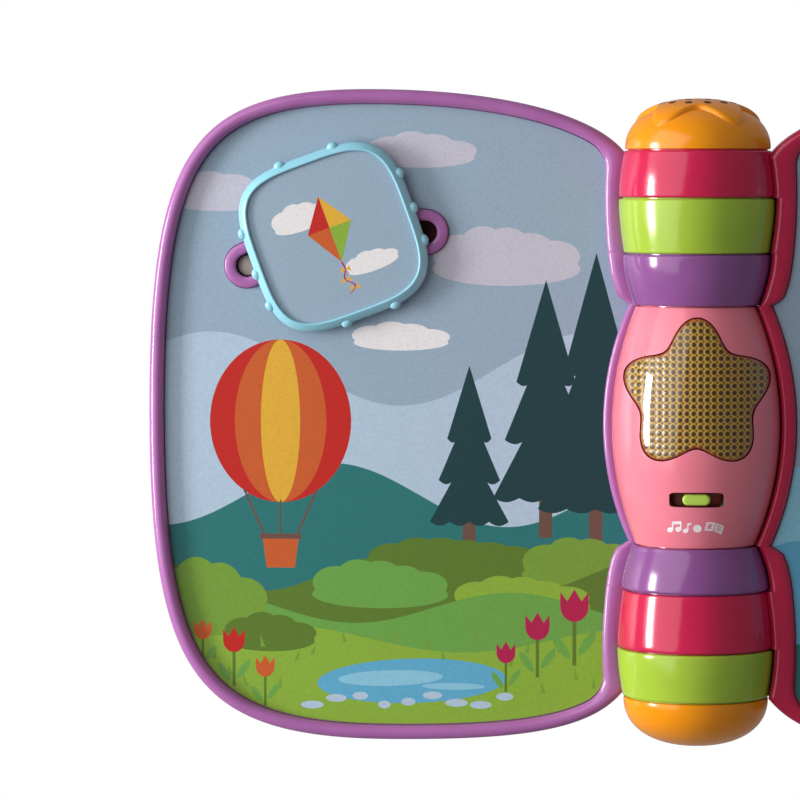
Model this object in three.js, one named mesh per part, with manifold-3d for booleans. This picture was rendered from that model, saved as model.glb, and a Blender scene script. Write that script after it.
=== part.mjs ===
// Sound book: a chunky toy book lying open and flat. A barrel spine holds the light, the mode
// switch and the speaker. Rounded boards and two page leaves turn on the tubes inside the spine.
// Millimetres, +Z up, +Y to the top of the book. The origin is on the flat underside of the
// spine, straight below the hinge axis, which runs along Y.
import * as THREE from 'three';
import { mergeVertices } from 'three/addons/utils/BufferGeometryUtils.js';
import Module from 'manifold-3d';

const wasm = await Module();
wasm.setup();

// Stack of the closed book
const boardThickness = 20;
const leafThickness = 9.8;
const stackGap = 0.4;
const axisHeight = boardThickness + leafThickness + stackGap * 1.5;

// Spine bands along the axis, counted from the middle of the book outwards
const centreHalf = { top: 44.9, bottom: 44.4 };
const innerBand = { top: 19.4, bottom: 16.9 };
const middleBand = { top: 20.7, bottom: 21.8 };
const outerBand = { top: 17.8, bottom: 18.4 };
const capLength = { top: 17.5, bottom: 18.6 };
const seamGap = 0.5;

// Spine radii
const centreCrown = 31.7;
const centreNeck = 22.7;
const innerNeck = 23.7;
const innerShoulder = 27.8;
const outerEdge = 27.4;
const outerCrown = 29.4;
const capRadius = 27.1;
const capFullness = 2.3;

// Hinge tubes
const tubeRadius = 14;
const tubeWall = 2;
const bearingGap = 0.4;
const flangeThickness = 2;
const innerFlangeRadius = 17;

// Walls and fits
const wall = 2.2;
const floorWall = 2;
const runningGap = 0.8;
const fitGap = 0.3;

// Outline of a board, measured from the hinge axis and from the middle of the book
const pageReach = 208;
const pageMiddle = 2.2;
const pageTop = 125.9;
const pageBottom = 121.2;
const crownTop = 125;
const crownBottom = 117;
const cornerX = 28.9;
const cornerTop = 103.5;
const cornerBottom = 103.7;
const tuckX = 20;
const tuckDrop = 10;
const cornerFullness = 0.81;
const crownSweep = 50;
const cornerSweepX = 12.3;
const cornerSweepY = 13.4;
const edgeRound = 2.4;

// Rim, printed panels and parting line of a board
const rimWidth = 5.3;
const boardRecess = 4.3;
const leafRecess = 3.5;
const panelThickness = 0.6;
const panelGap = 0.4;
const recessFloor = 1.6;
const partingHeight = 8;

// Housing screws of a board
const bossRadius = 4.2;
const screwHeadRadius = 3.2;
const screwRadius = 1.6;
const screwHeadDepth = 4.5;
const bossInset = 16;

// Curved slot of the picture slider, as an arc about a point below it
const slotFromEdge = 95;
const slotBelowTop = 186.6;
const slotCentreX = slotFromEdge - pageReach;
const slotCentreY = pageTop - slotBelowTop;
const slotRadius = 133;
const slotMiddle = 10.6;
const slotHalfAngle = 15.1;
const slotHalfWidth = 4.3;
const collarWidth = 4.2;
const collarHeight = 2;

// Picture slider
const pictureSide = 60.6;
const pictureTurn = 20;
const pictureBulge = 4.8;
const cardBulge = 3.6;
const pictureCorner = 7;
const bezelWidth = 3;
const bezelSlope = 2.6;
const pictureThickness = 4;
const pictureLift = 0.4;
const pictureDepth = 1.2;
const stemHalfAngle = 5.9;
const retainerRadius = 9;
const retainerThickness = 1.8;
const backingThickness = 0.8;
const backingGap = 1;

// Star light
const starY = 12.8;
const starMean = 24;
const starLobe = 3.9;
const starGap = 0.5;
const starProud = 0.2;
const starThickness = 2.4;
const starTravel = 2;

// Mode switch
const switchY = -25.8;
const switchHalfWidth = 2.8;
const knobLength = 10.3;
const knobWidth = 4.2;
const knobSunk = 0.9;
const knobTravel = 3.5;
const knobEndGap = 1.35;
const switchHalfLength = knobLength / 2 + knobTravel + knobEndGap;

// Light board in the spine
const boardLift = 10;
const boardWidth = 34;
const boardTop = 30;
const boardBottom = 33;
const circuitThickness = 1.6;
const lightPostRadius = 3;

// Speaker and its star grille in the top cap
const grilleLobe = 4.2;
const grilleMean = 20.5;
const grilleProud = 1.6;
const grilleHoleRadius = 1.4;
const grilleHoleRings = [7, 13.5];
const speakerRadius = 18;
const speakerDepth = 10;
const speakerSeat = 6;

// Battery bay in the base
const cellRadius = 5.2;
const cellLength = 43.5;
const cellCount = 3;
const cellGap = 0.5;
const bayX = 150;
const bayY = -30;
const bayWall = 3.6;
const doorLip = 2;
const contactSpace = 3.2;

// Main board in the base
const mainBoardX = 92;
const mainBoardY = 46;
const mainBoardLength = 64;
const mainBoardWidth = 36;
const mainBoardHeight = 7;

const roundSteps = 24;
const housingSteps = 32;

// Closed solid from a geometry: shared points are merged and the faces made to point outwards
function solid(geometry) {
  const bare = new THREE.BufferGeometry();
  bare.setAttribute('position', geometry.getAttribute('position').clone());
  if (geometry.index) bare.setIndex(geometry.index.clone());
  const merged = mergeVertices(bare, 1e-4);
  const index = merged.index.array;
  const keep = [];
  for (let i = 0; i < index.length; i += 3) {
    const [a, b, c] = [index[i], index[i + 1], index[i + 2]];
    if (a !== b && b !== c && c !== a) keep.push(a, b, c);
  }
  const points = merged.getAttribute('position').array;
  let volume = 0;
  const corner = [new THREE.Vector3(), new THREE.Vector3(), new THREE.Vector3()];
  for (let i = 0; i < keep.length; i += 3) {
    corner.forEach((v, k) => v.fromArray(points, keep[i + k] * 3));
    volume += corner[0].dot(corner[1].clone().cross(corner[2]));
  }
  if (volume < 0) keep.reverse();
  return new wasm.Manifold(new wasm.Mesh({
    numProp: 3,
    vertProperties: new Float32Array(points),
    triVerts: new Uint32Array(keep),
  }));
}

function join(...solids) {
  return solids.reduce((a, b) => a.add(b));
}

// Box given by its low and high corners
function box(x0, y0, z0, x1, y1, z1) {
  const g = new THREE.BoxGeometry(x1 - x0, y1 - y0, z1 - z0);
  g.translate((x0 + x1) / 2, (y0 + y1) / 2, (z0 + z1) / 2);
  return solid(g);
}

// Upright cylinder
function post(x, y, radius, z0, z1, steps = 12) {
  const g = new THREE.CylinderGeometry(radius, radius, z1 - z0, steps);
  g.rotateX(Math.PI / 2);
  g.translate(x, y, (z0 + z1) / 2);
  return solid(g);
}

// Body of revolution about the hinge axis, from pairs of radius and place along the axis
function revolve(profile, steps = roundSteps) {
  const g = new THREE.LatheGeometry(profile.map(([r, y]) => new THREE.Vector2(r, y)), steps);
  g.translate(0, 0, axisHeight);
  return solid(g);
}

// Flat shape raised from z0 to z1, with its upper and lower edges rounded off
function slab(shape, z0, z1, roundTop = 0, roundBottom = 0, slope = 0) {
  const r = Math.max(roundTop, roundBottom);
  if (!r) {
    const plain = new THREE.ExtrudeGeometry(shape, { depth: z1 - z0, bevelEnabled: false });
    plain.translate(0, 0, z0);
    return solid(plain);
  }
  const low = roundBottom ? z0 : z0 - 2 * r;
  const high = roundTop ? z1 : z1 + 2 * r;
  const g = new THREE.ExtrudeGeometry(shape, {
    depth: high - low - 2 * r,
    bevelThickness: r,
    bevelSize: slope || r,
    bevelOffset: -(slope || r),
    bevelSegments: slope ? 1 : 2,
  });
  g.translate(0, 0, low + r);
  const far = pageReach * 2;
  return solid(g).intersect(box(-far, -far, z0, far, far, z1));
}

// Bands of one end of the spine, each with its two ends and its radius along the way
function bandsOf(end) {
  const seam = [centreHalf[end]];
  [innerBand, middleBand, outerBand, capLength].forEach((b) => seam.push(seam.at(-1) + b[end]));
  const bulge = (t) => outerEdge + (outerCrown - outerEdge) * Math.sin(t * Math.PI / 2);
  const belly = (t) => innerNeck + (innerShoulder - innerNeck) * Math.sin(t * Math.PI / 2);
  const dome = (t) => capRadius * Math.max(0, 1 - t ** capFullness) ** (1 / capFullness);
  return {
    sign: end === 'top' ? 1 : -1,
    inner: { from: seam[0], to: seam[1], radius: belly },
    middle: { from: seam[1], to: seam[2], radius: bulge },
    outer: { from: seam[2], to: seam[3], radius: (t) => bulge(1 - t) },
    cap: { from: seam[3], to: seam[4], radius: dome },
  };
}

const topEnd = bandsOf('top');
const bottomEnd = bandsOf('bottom');

// Radius of the middle of the spine: a shallow arc from neck to neck
function centreRadius(y) {
  const half = y > 0 ? centreHalf.top : centreHalf.bottom;
  const rise = centreCrown - centreNeck;
  const arc = (half * half + rise * rise) / (2 * rise);
  return centreCrown - arc + Math.sqrt(arc * arc - y * y);
}

// Points along one band, with the radius made larger by grow
function bandProfile(end, band, grow, steps, trim = 0) {
  const points = [];
  for (let i = 0; i <= steps; i++) {
    const t = i / steps;
    const y = band.from + trim + (band.to - band.from - 2 * trim) * t;
    points.push([band.radius(t) + grow, end.sign * y]);
  }
  return points;
}

function centreProfile(grow, steps, trim = 0) {
  const points = [];
  for (let i = 0; i <= steps; i++) {
    const low = -centreHalf.bottom + trim;
    const y = low + (centreHalf.top + centreHalf.bottom - 2 * trim) * i / steps;
    points.push([centreRadius(y) + grow, y]);
  }
  return points;
}

// The whole spine made larger by grow: what turning pieces keep clear of
function barrel(grow) {
  const half = (end) => [
    ...bandProfile(end, end.inner, grow, 2),
    ...bandProfile(end, end.middle, grow, 2),
    ...bandProfile(end, end.outer, grow, 2).slice(1),
    [capRadius + grow, end.sign * (end.cap.from + capLength.top / 2)],
    [0, end.sign * (end.cap.from + capLength.top / 2)],
  ];
  return revolve([...half(bottomEnd).reverse(), ...centreProfile(grow, 6), ...half(topEnd)]);
}

const runningBarrel = barrel(runningGap);
const wallBarrel = barrel(runningGap + wall);
const rimBarrel = barrel(runningGap + rimWidth);
const panelBarrel = barrel(runningGap + rimWidth + panelGap);

// Hinge ring: a skin, one end wall and a hub that turns on the tube, open on the other side
function ring(end, band) {
  const skin = bandProfile(end, band, 0, 2, seamGap / 2);
  const [, near] = skin[0];
  const [farRadius, far] = skin.at(-1);
  const bore = tubeRadius + bearingGap;
  const step = end.sign * floorWall;
  return revolve([
    ...skin,
    [bore, far],
    [bore, near],
    [bore + floorWall, near],
    [bore + floorWall, far - step],
    [farRadius - wall, far - step],
    [skin[1][0] - wall, skin[1][1]],
    [skin[0][0] - wall, near],
    skin[0],
  ]);
}

// Joins a ring to the wall of its board: fills the running gap beside the ring
function ringWeb(end, band, side, z0, z1) {
  const outer = bandProfile(end, band, runningGap + wall, 2, seamGap / 2);
  const inner = bandProfile(end, band, -wall / 2, 2, seamGap / 2).reverse();
  const tube = revolve([...outer, ...inner, outer[0]]);
  const reach = centreCrown * 2;
  const x0 = side > 0 ? tuckX : -reach;
  const x1 = side > 0 ? reach : -tuckX;
  return tube.intersect(box(x0, -pageTop, z0, x1, pageTop, z1));
}

// Outline of a board or leaf, moved inwards by inset. Side is +1 on the right, -1 on the left.
function outline(side, inset = 0) {
  const k = cornerFullness;
  const path = new THREE.Path();
  const far = pageReach - crownBottom;
  const farTop = pageReach - crownTop;
  path.moveTo(tuckX, -cornerBottom + tuckDrop);
  path.lineTo(cornerX, -cornerBottom);
  path.bezierCurveTo(cornerX + cornerSweepX, -cornerBottom - cornerSweepY,
    crownBottom - crownSweep, -pageBottom, crownBottom, -pageBottom);
  path.bezierCurveTo(crownBottom + far * k, -pageBottom,
    pageReach, pageMiddle - (pageBottom + pageMiddle) * k, pageReach, pageMiddle);
  path.bezierCurveTo(pageReach, pageMiddle + (pageTop - pageMiddle) * k,
    crownTop + farTop * k, pageTop, crownTop, pageTop);
  path.bezierCurveTo(crownTop - crownSweep, pageTop,
    cornerX + cornerSweepX, cornerTop + cornerSweepY, cornerX, cornerTop);
  path.lineTo(tuckX, cornerTop - tuckDrop);
  const points = path.getPoints(9);
  const moved = points.map((p, i) => {
    const before = points[Math.max(i - 1, 0)];
    const after = points[Math.min(i + 1, points.length - 1)];
    const along = after.clone().sub(before).normalize();
    return new THREE.Vector2(p.x - along.y * inset, p.y + along.x * inset);
  });
  moved[0].x = tuckX + inset;
  moved.at(-1).x = tuckX + inset;
  if (side < 0) moved.forEach((p) => p.setX(-p.x));
  return new THREE.Shape(moved);
}

// Band along the slider's arc with round ends
function arcBand(halfWidth, halfAngle, offset = 0) {
  const middle = Math.PI / 2 + THREE.MathUtils.degToRad(slotMiddle);
  const half = THREE.MathUtils.degToRad(halfAngle);
  const [a, b] = [middle - half, middle + half];
  const radius = slotRadius + offset;
  const at = (angle) => [
    slotCentreX + radius * Math.cos(angle),
    slotCentreY + radius * Math.sin(angle),
  ];
  const points = [];
  const steps = 7;
  const ends = 4;
  const put = (cx, cy, r, angle) => points.push(
    new THREE.Vector2(cx + r * Math.cos(angle), cy + r * Math.sin(angle)));
  for (let i = 0; i <= steps; i++) {
    put(slotCentreX, slotCentreY, radius + halfWidth, a + (b - a) * i / steps);
  }
  for (let i = 1; i < ends; i++) put(...at(b), halfWidth, b + Math.PI * i / ends);
  for (let i = 0; i <= steps; i++) {
    put(slotCentreX, slotCentreY, radius - halfWidth, b + (a - b) * i / steps);
  }
  for (let i = 1; i < ends; i++) put(...at(a), halfWidth, a + Math.PI + Math.PI * i / ends);
  return new THREE.Shape(points);
}

// Five-lobed star as a smooth closed curve, one lobe towards +Y
function star(mean, lobe, grow = 0, steps = 30) {
  const points = [];
  for (let i = 0; i < steps; i++) {
    const angle = i / steps * Math.PI * 2;
    const r = mean + grow + lobe * Math.cos(5 * angle);
    points.push(new THREE.Vector2(-r * Math.sin(angle), r * Math.cos(angle)));
  }
  return new THREE.Shape(points);
}

// Square with gently bulged sides and round corners
function bulgedSquare(side, bulge, corner) {
  const h = side / 2;
  const c = h - corner;
  const shape = new THREE.Shape();
  shape.moveTo(c, h - bulge / 2);
  shape.quadraticCurveTo(0, h + bulge * 1.5, -c, h - bulge / 2);
  shape.quadraticCurveTo(-h + bulge / 2, h - bulge / 2, -h + bulge / 2, c);
  shape.quadraticCurveTo(-h - bulge * 1.5, 0, -h + bulge / 2, -c);
  shape.quadraticCurveTo(-h + bulge / 2, -h + bulge / 2, -c, -h + bulge / 2);
  shape.quadraticCurveTo(0, -h - bulge * 1.5, c, -h + bulge / 2);
  shape.quadraticCurveTo(h - bulge / 2, -h + bulge / 2, h - bulge / 2, -c);
  shape.quadraticCurveTo(h + bulge * 1.5, 0, h - bulge / 2, c);
  shape.quadraticCurveTo(h - bulge / 2, h - bulge / 2, c, h - bulge / 2);
  return new THREE.Shape(shape.getPoints(3));
}

const book = new THREE.Group();

function add(name, body, color, roughness = 0.35, options = {}) {
  const mesh = body.getMesh();
  const geometry = new THREE.BufferGeometry();
  geometry.setAttribute('position', new THREE.BufferAttribute(mesh.vertProperties, 3));
  geometry.setIndex(new THREE.BufferAttribute(mesh.triVerts, 1));
  geometry.computeVertexNormals();
  const material = new THREE.MeshStandardMaterial({ color, roughness, ...options });
  const piece = new THREE.Mesh(geometry, material);
  piece.name = name;
  book.add(piece);
  return piece;
}

const purple = 0x9a55a5;
const pink = 0xf58a9c;
const red = 0xe03358;
const green = 0xa9cc3f;
const orange = 0xf8a814;
const amber = 0xc9951c;
const steel = 0xb8bcc2;
const paper = 0xdfe9ee;

// Levels of a board
const rimTop = boardThickness;
const artTop = boardThickness - boardRecess;
const floorTop = artTop - panelThickness;
const floorBottom = floorTop - recessFloor;

// Places of the housing screws of a board, on the right-hand side
const screwPlaces = [
  [pageReach - bossInset, pageTop / 2],
  [pageReach - bossInset, -pageBottom / 2],
  [crownTop - pageReach / 5, pageTop - bossInset],
  [crownBottom - pageReach / 5, -pageBottom + bossInset],
];

// Upper shell of a board: rim, recess for the print, side wall and screw bosses
function frontShell(side) {
  let body = slab(outline(side), partingHeight, rimTop, edgeRound);
  body = body.subtract(runningBarrel);
  const recess = slab(outline(side, rimWidth), floorTop, rimTop + 1).subtract(rimBarrel);
  const hollow = slab(outline(side, wall), partingHeight - 1, floorBottom).subtract(wallBarrel);
  body = body.subtract(recess).subtract(hollow);
  screwPlaces.forEach(([x, y]) => {
    const boss = post(side * x, y, bossRadius - 0.6, partingHeight, floorBottom, 8);
    const pilot = post(side * x, y, screwRadius - fitGap, partingHeight - 1, floorBottom - 1, 6);
    body = body.add(boss).subtract(pilot);
  });
  return body;
}

// Lower shell of a board: floor, side wall and counterbored screw bosses
function backShell(side) {
  let body = slab(outline(side), 0, partingHeight, 0, edgeRound).subtract(runningBarrel);
  const hollow = slab(outline(side, wall), floorWall, partingHeight + 1).subtract(wallBarrel);
  body = body.subtract(hollow);
  screwPlaces.forEach(([x, y]) => {
    body = body.add(post(side * x, y, bossRadius, floorWall / 2, partingHeight, 8));
    body = body.subtract(post(side * x, y, screwHeadRadius, -1, screwHeadDepth, 8));
    body = body.subtract(post(side * x, y, screwRadius, -1, partingHeight + 1, 6));
  });
  return body;
}

function printPanel(side, z0) {
  const sheet = slab(outline(side, rimWidth + panelGap), z0, z0 + panelThickness);
  return sheet.subtract(panelBarrel);
}

// Left cover with its two hinge rings and the raised collar of the picture slot
let coverFront = frontShell(-1);
coverFront = coverFront.add(slab(arcBand(slotHalfWidth + collarWidth, slotHalfAngle),
  floorBottom, artTop + collarHeight));
coverFront = coverFront.subtract(slab(arcBand(slotHalfWidth, slotHalfAngle), 0, rimTop));
[topEnd, bottomEnd].forEach((end) => {
  coverFront = join(coverFront, ringWeb(end, end.inner, -1, partingHeight, rimTop - 1),
    ring(end, end.inner));
});
add('cover_front_shell', coverFront, purple, 0.3);

const backingTop = floorBottom - fitGap - retainerThickness - backingGap;
const backingBottom = backingTop - backingThickness;
let coverBack = backShell(-1);
[1, -1].forEach((way) => {
  const rail = slab(arcBand(wall / 2, slotHalfAngle, way * (retainerRadius - wall)),
    floorWall / 2, backingBottom);
  coverBack = coverBack.add(rail);
});
add('cover_back_shell', coverBack, purple, 0.35);

const cardHole = slab(arcBand(slotHalfWidth + collarWidth + fitGap, slotHalfAngle), 0, rimTop);
add('cover_print', printPanel(-1, floorTop).subtract(cardHole), 0x9fbdd6, 0.45);
add('slot_backing', slab(arcBand(retainerRadius, slotHalfAngle), backingBottom, backingTop),
  0x5a0c12, 0.5);

// Picture slider: bezel with its stem, the picture card and the retainer below the slot
const pinAngle = Math.PI / 2 + THREE.MathUtils.degToRad(slotMiddle);
const pinX = slotCentreX + slotRadius * Math.cos(pinAngle);
const pinY = slotCentreY + slotRadius * Math.sin(pinAngle);
const pictureBottom = artTop + collarHeight + pictureLift;
const pictureTop = pictureBottom + pictureThickness;
const pictureSeat = pictureTop - pictureDepth - panelThickness;
function turned(shape) {
  const angle = THREE.MathUtils.degToRad(pictureTurn);
  const centre = new THREE.Vector2(0, 0);
  return new THREE.Shape(shape.getPoints().map((p) => {
    const q = p.clone().rotateAround(centre, angle);
    return q.add(new THREE.Vector2(pinX, pinY));
  }));
}
const cardSide = pictureSide - 2 * bezelWidth;
let bezel = slab(turned(bulgedSquare(pictureSide, pictureBulge, pictureCorner)),
  pictureBottom, pictureTop, bezelSlope, 0, bezelWidth * 0.8);
bezel = bezel.subtract(slab(turned(bulgedSquare(cardSide, cardBulge, pictureCorner / 2)),
  pictureSeat, pictureTop + 1));
const stem = slab(arcBand(slotHalfWidth - fitGap, stemHalfAngle),
  floorBottom - fitGap, pictureBottom + 1);
bezel = bezel.add(stem);
add('picture_bezel', bezel, 0x86dfe8, 0.3);
add('picture_card', slab(turned(bulgedSquare(cardSide - 2 * fitGap, cardBulge,
  pictureCorner / 2)), pictureSeat, pictureSeat + panelThickness), 0xa3c8e0, 0.4);
add('picture_retainer', post(pinX, pinY, retainerRadius,
  floorBottom - fitGap - retainerThickness, floorBottom - fitGap, 16), 0xe8e6e0, 0.5);

// Page leaves: a rim on both faces, a thin web between, and two hinge rings each
function leafFrame(z0, bands) {
  const z1 = z0 + leafThickness;
  const depth = leafRecess + panelThickness;
  let body = slab(outline(1), z0, z1, edgeRound, edgeRound).subtract(runningBarrel);
  const upper = slab(outline(1, rimWidth), z1 - depth, z1 + 1).subtract(rimBarrel);
  const lower = slab(outline(1, rimWidth), z0 - 1, z0 + depth).subtract(rimBarrel);
  body = body.subtract(upper).subtract(lower);
  bands.forEach(([end, band]) => {
    body = join(body, ringWeb(end, band, 1, z0 + 0.6, z1 - 0.6), ring(end, band));
  });
  return body;
}
const leafBBottom = boardThickness + stackGap;
const leafABottom = leafBBottom + leafThickness + stackGap;
const leaves = [
  ['leaf_a', leafABottom, [[topEnd, topEnd.outer], [bottomEnd, bottomEnd.middle]], red],
  ['leaf_b', leafBBottom, [[topEnd, topEnd.middle], [bottomEnd, bottomEnd.outer]], green],
];
leaves.forEach(([name, z0, bands, color]) => {
  add(`${name}_frame`, leafFrame(z0, bands), color, 0.35);
  add(`${name}_front_print`,
    printPanel(1, z0 + leafThickness - leafRecess - panelThickness), paper, 0.45);
  add(`${name}_back_print`, printPanel(1, z0 + leafRecess), paper, 0.45);
});

// Base: lower shell with the battery bay, upper shell with its print
const bayHalfX = (cellCount * (2 * cellRadius + cellGap) + cellGap) / 2;
const bayHalfY = cellLength / 2 + contactSpace;
const bayTop = floorBottom - fitGap;
let baseBack = backShell(1);
baseBack = baseBack.add(box(bayX - bayHalfX - bayWall, bayY - bayHalfY - bayWall, floorWall / 2,
  bayX + bayHalfX + bayWall, bayY + bayHalfY + bayWall, bayTop));
baseBack = baseBack.subtract(box(bayX - bayHalfX, bayY - bayHalfY, -1,
  bayX + bayHalfX, bayY + bayHalfY, bayTop + 1));
baseBack = baseBack.subtract(box(bayX - bayHalfX - doorLip, bayY - bayHalfY - doorLip, -1,
  bayX + bayHalfX + doorLip, bayY + bayHalfY + doorLip, floorWall));
const mainPosts = [[-1, -1], [1, -1], [1, 1], [-1, 1]].map(([sx, sy]) => [
  mainBoardX + sx * (mainBoardLength / 2 - 5),
  mainBoardY + sy * (mainBoardWidth / 2 - 5),
]);
mainPosts.forEach(([x, y]) => {
  baseBack = baseBack.add(post(x, y, lightPostRadius, floorWall / 2, mainBoardHeight, 8));
});

// Lugs of the spine housing that reach into the base and are screwed down there
const lugOffset = 22;
const lugHalf = 6;
const lugBottom = floorWall + fitGap;
const lugTop = partingHeight - fitGap;
const lugReach = centreCrown + 14;
[1, -1].forEach((way) => {
  const y = way * lugOffset;
  baseBack = baseBack.subtract(box(tuckX - 1, y - lugHalf - fitGap, floorWall,
    lugReach + fitGap, y + lugHalf + fitGap, partingHeight + 1));
  baseBack = baseBack.subtract(post(lugReach - lugHalf, y, screwHeadRadius / 2, -1,
    floorWall + 1, 8));
});
add('base_back_shell', baseBack, purple, 0.35);
add('base_front_shell', frontShell(1), purple, 0.3);
add('base_print', printPanel(1, floorTop), paper, 0.45);

add('battery_door', box(bayX - bayHalfX - doorLip + fitGap, bayY - bayHalfY - doorLip + fitGap, 0,
  bayX + bayHalfX + doorLip - fitGap, bayY + bayHalfY + doorLip - fitGap, floorWall),
  purple, 0.4);
for (let i = 0; i < cellCount; i++) {
  const x = bayX - bayHalfX + cellGap + cellRadius + i * (2 * cellRadius + cellGap);
  const way = i % 2 ? -1 : 1;
  const nub = new THREE.LatheGeometry([
    new THREE.Vector2(0, -cellLength / 2),
    new THREE.Vector2(cellRadius, -cellLength / 2),
    new THREE.Vector2(cellRadius, cellLength / 2),
    new THREE.Vector2(cellRadius * 0.36, cellLength / 2),
    new THREE.Vector2(cellRadius * 0.36, cellLength / 2 + 1),
    new THREE.Vector2(0, cellLength / 2 + 1),
  ], 16);
  if (way < 0) nub.rotateZ(Math.PI);
  nub.translate(x, bayY, floorWall + fitGap + cellRadius);
  add(`cell_${i + 1}`, solid(nub), 0x3c8f5a, 0.4);
}
[1, -1].forEach((way) => {
  const y = bayY + way * (bayHalfY - fitGap - 0.3);
  add(way > 0 ? 'contact_top' : 'contact_bottom',
    box(bayX - bayHalfX + 1, y - 0.3, floorWall + 1, bayX + bayHalfX - 1, y + 0.3, bayTop - 1),
    steel, 0.3, { metalness: 0.9 });
});
const mainTop = mainBoardHeight + circuitThickness;
add('main_board', join(
  box(mainBoardX - mainBoardLength / 2, mainBoardY - mainBoardWidth / 2, mainBoardHeight,
    mainBoardX + mainBoardLength / 2, mainBoardY + mainBoardWidth / 2, mainTop),
  box(mainBoardX - 8, mainBoardY - 6, mainTop - 0.5, mainBoardX + 8, mainBoardY + 6, mainTop + 2),
), 0x2f7d4f, 0.5);

// Middle housing of the spine, a barrel with end walls, flat below and split at the axis
const housingTrim = seamGap / 2;
const endInside = (half) => half - housingTrim - wall;
let housing = revolve([[0, -centreHalf.bottom + housingTrim], ...centreProfile(0, 8, housingTrim),
  [0, centreHalf.top - housingTrim]], housingSteps);
const insideProfile = centreProfile(-wall, 8, housingTrim + wall);
const housingInside = revolve([[0, -endInside(centreHalf.bottom)], ...insideProfile,
  [0, endInside(centreHalf.top)]], housingSteps);
const far = pageReach;
housing = housing.subtract(housingInside.intersect(box(-far, -far, floorWall, far, far, far)));
housing = housing.subtract(revolve([[0, -far], [tubeRadius + fitGap, -far],
  [tubeRadius + fitGap, far], [0, far]], 24));
let housingTop = housing.intersect(box(-far, -far, axisHeight, far, far, far));
let housingBottom = housing.intersect(box(-far, -far, 0, far, far, axisHeight));

const starCut = slab(star(starMean, starLobe, starGap), axisHeight, axisHeight + 2 * centreCrown);
housingTop = housingTop.subtract(starCut.translate([0, starY, 0]));
housingTop = housingTop.subtract(box(-switchHalfLength, switchY - switchHalfWidth, axisHeight,
  switchHalfLength, switchY + switchHalfWidth, axisHeight + 2 * centreCrown));
add('spine_front_shell', housingTop, pink, 0.25);

const circuitBottom = axisHeight + boardLift;
const circuitTop = circuitBottom + circuitThickness;
[1, -1].forEach((way) => {
  const y = way * lugOffset;
  const lug = box(0, y - lugHalf, lugBottom, lugReach, y + lugHalf, lugTop);
  housingBottom = housingBottom.add(lug.subtract(housingInside));
  housingBottom = housingBottom.subtract(post(lugReach - lugHalf, y, screwRadius - fitGap, 0,
    lugTop + 1, 8));
  housingBottom = housingBottom.add(post(0, way * 18, lightPostRadius, floorWall / 2,
    circuitBottom, 10));
});
add('spine_back_shell', housingBottom, pink, 0.3);

// Light board with the star's push switch, two lamps and the body of the mode switch
const starBottom = axisHeight + centreCrown - starThickness;
const buttonTop = circuitTop + 5;
const switchBodyTop = axisHeight + centreRadius(switchY) - wall - 4;
add('light_board', join(
  box(-boardWidth / 2, -boardBottom, circuitBottom, boardWidth / 2, boardTop, circuitTop),
  box(-3, starY - 3, circuitTop - 0.5, 3, starY + 3, buttonTop),
  post(-9, starY, 2.5, circuitTop - 0.5, circuitTop + 6, 10),
  post(9, starY, 2.5, circuitTop - 0.5, circuitTop + 6, 10),
  box(-switchHalfLength, switchY - 4, circuitTop - 0.5, switchHalfLength, switchY + 4,
    switchBodyTop),
), 0x2f7d4f, 0.5);

// Star lens: the curve of the housing cut out by the star, with a stem above the push switch
const lensPrism = slab(star(starMean, starLobe), axisHeight, axisHeight + 2 * centreCrown)
  .translate([0, starY, 0]);
const lensOuter = revolve([[0, -centreHalf.bottom], ...centreProfile(starProud, 8),
  [0, centreHalf.top]], housingSteps);
const lensInner = revolve([[0, -far], ...centreProfile(starProud - starThickness, 8),
  [0, far]], housingSteps);
let lens = lensPrism.intersect(lensOuter).subtract(lensInner);
lens = lens.add(post(0, starY, 3, buttonTop + starTravel + fitGap, starBottom, 10));
add('star_lens', lens, amber, 0.15, { transparent: true, opacity: 0.85 });

// Mode knob: a low grip above the slot and a stem down to the switch
const knobTop = axisHeight + centreRadius(switchY) - knobSunk;
const grip = new THREE.Shape([
  new THREE.Vector2(-knobLength / 2, -knobWidth / 2),
  new THREE.Vector2(knobLength / 2, -knobWidth / 2),
  new THREE.Vector2(knobLength / 2, knobWidth / 2),
  new THREE.Vector2(-knobLength / 2, knobWidth / 2),
]);
add('mode_knob', join(
  slab(grip, knobTop - 3.5, knobTop, 0.8),
  box(-knobLength / 4, -knobWidth / 2, switchBodyTop + fitGap, knobLength / 4, knobWidth / 2,
    knobTop - 3),
).translate([0, switchY, 0]), green, 0.3);

// Hinge tubes: fixed between the middle housing and the end caps, with a flange at each end
function hingeTube(end, half, seat) {
  const s = end.sign;
  const inside = s * (endInside(half) - fitGap);
  const outside = s * (end.cap.from + seamGap / 2);
  const bore = tubeRadius - tubeWall;
  const rim = capRadius - wall - 3 * fitGap;
  const profile = [
    [bore, inside - s * flangeThickness],
    [innerFlangeRadius, inside - s * flangeThickness],
    [innerFlangeRadius, inside],
    [tubeRadius, inside],
    [tubeRadius, outside],
    [rim, outside],
    [rim, outside + s * flangeThickness],
  ];
  if (seat) {
    profile.push(
      [speakerRadius, outside + s * flangeThickness],
      [speakerRadius, outside + s * (flangeThickness + seat)],
      [speakerRadius - tubeWall, outside + s * (flangeThickness + seat)],
      [speakerRadius - tubeWall, outside + s * flangeThickness],
    );
  }
  profile.push([bore, outside + s * flangeThickness], profile[0]);
  return revolve(profile);
}
add('hinge_tube_top', hingeTube(topEnd, centreHalf.top, speakerSeat), 0xe9e6df, 0.5);
add('hinge_tube_bottom', hingeTube(bottomEnd, centreHalf.bottom, 0), 0xe9e6df, 0.5);

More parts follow.
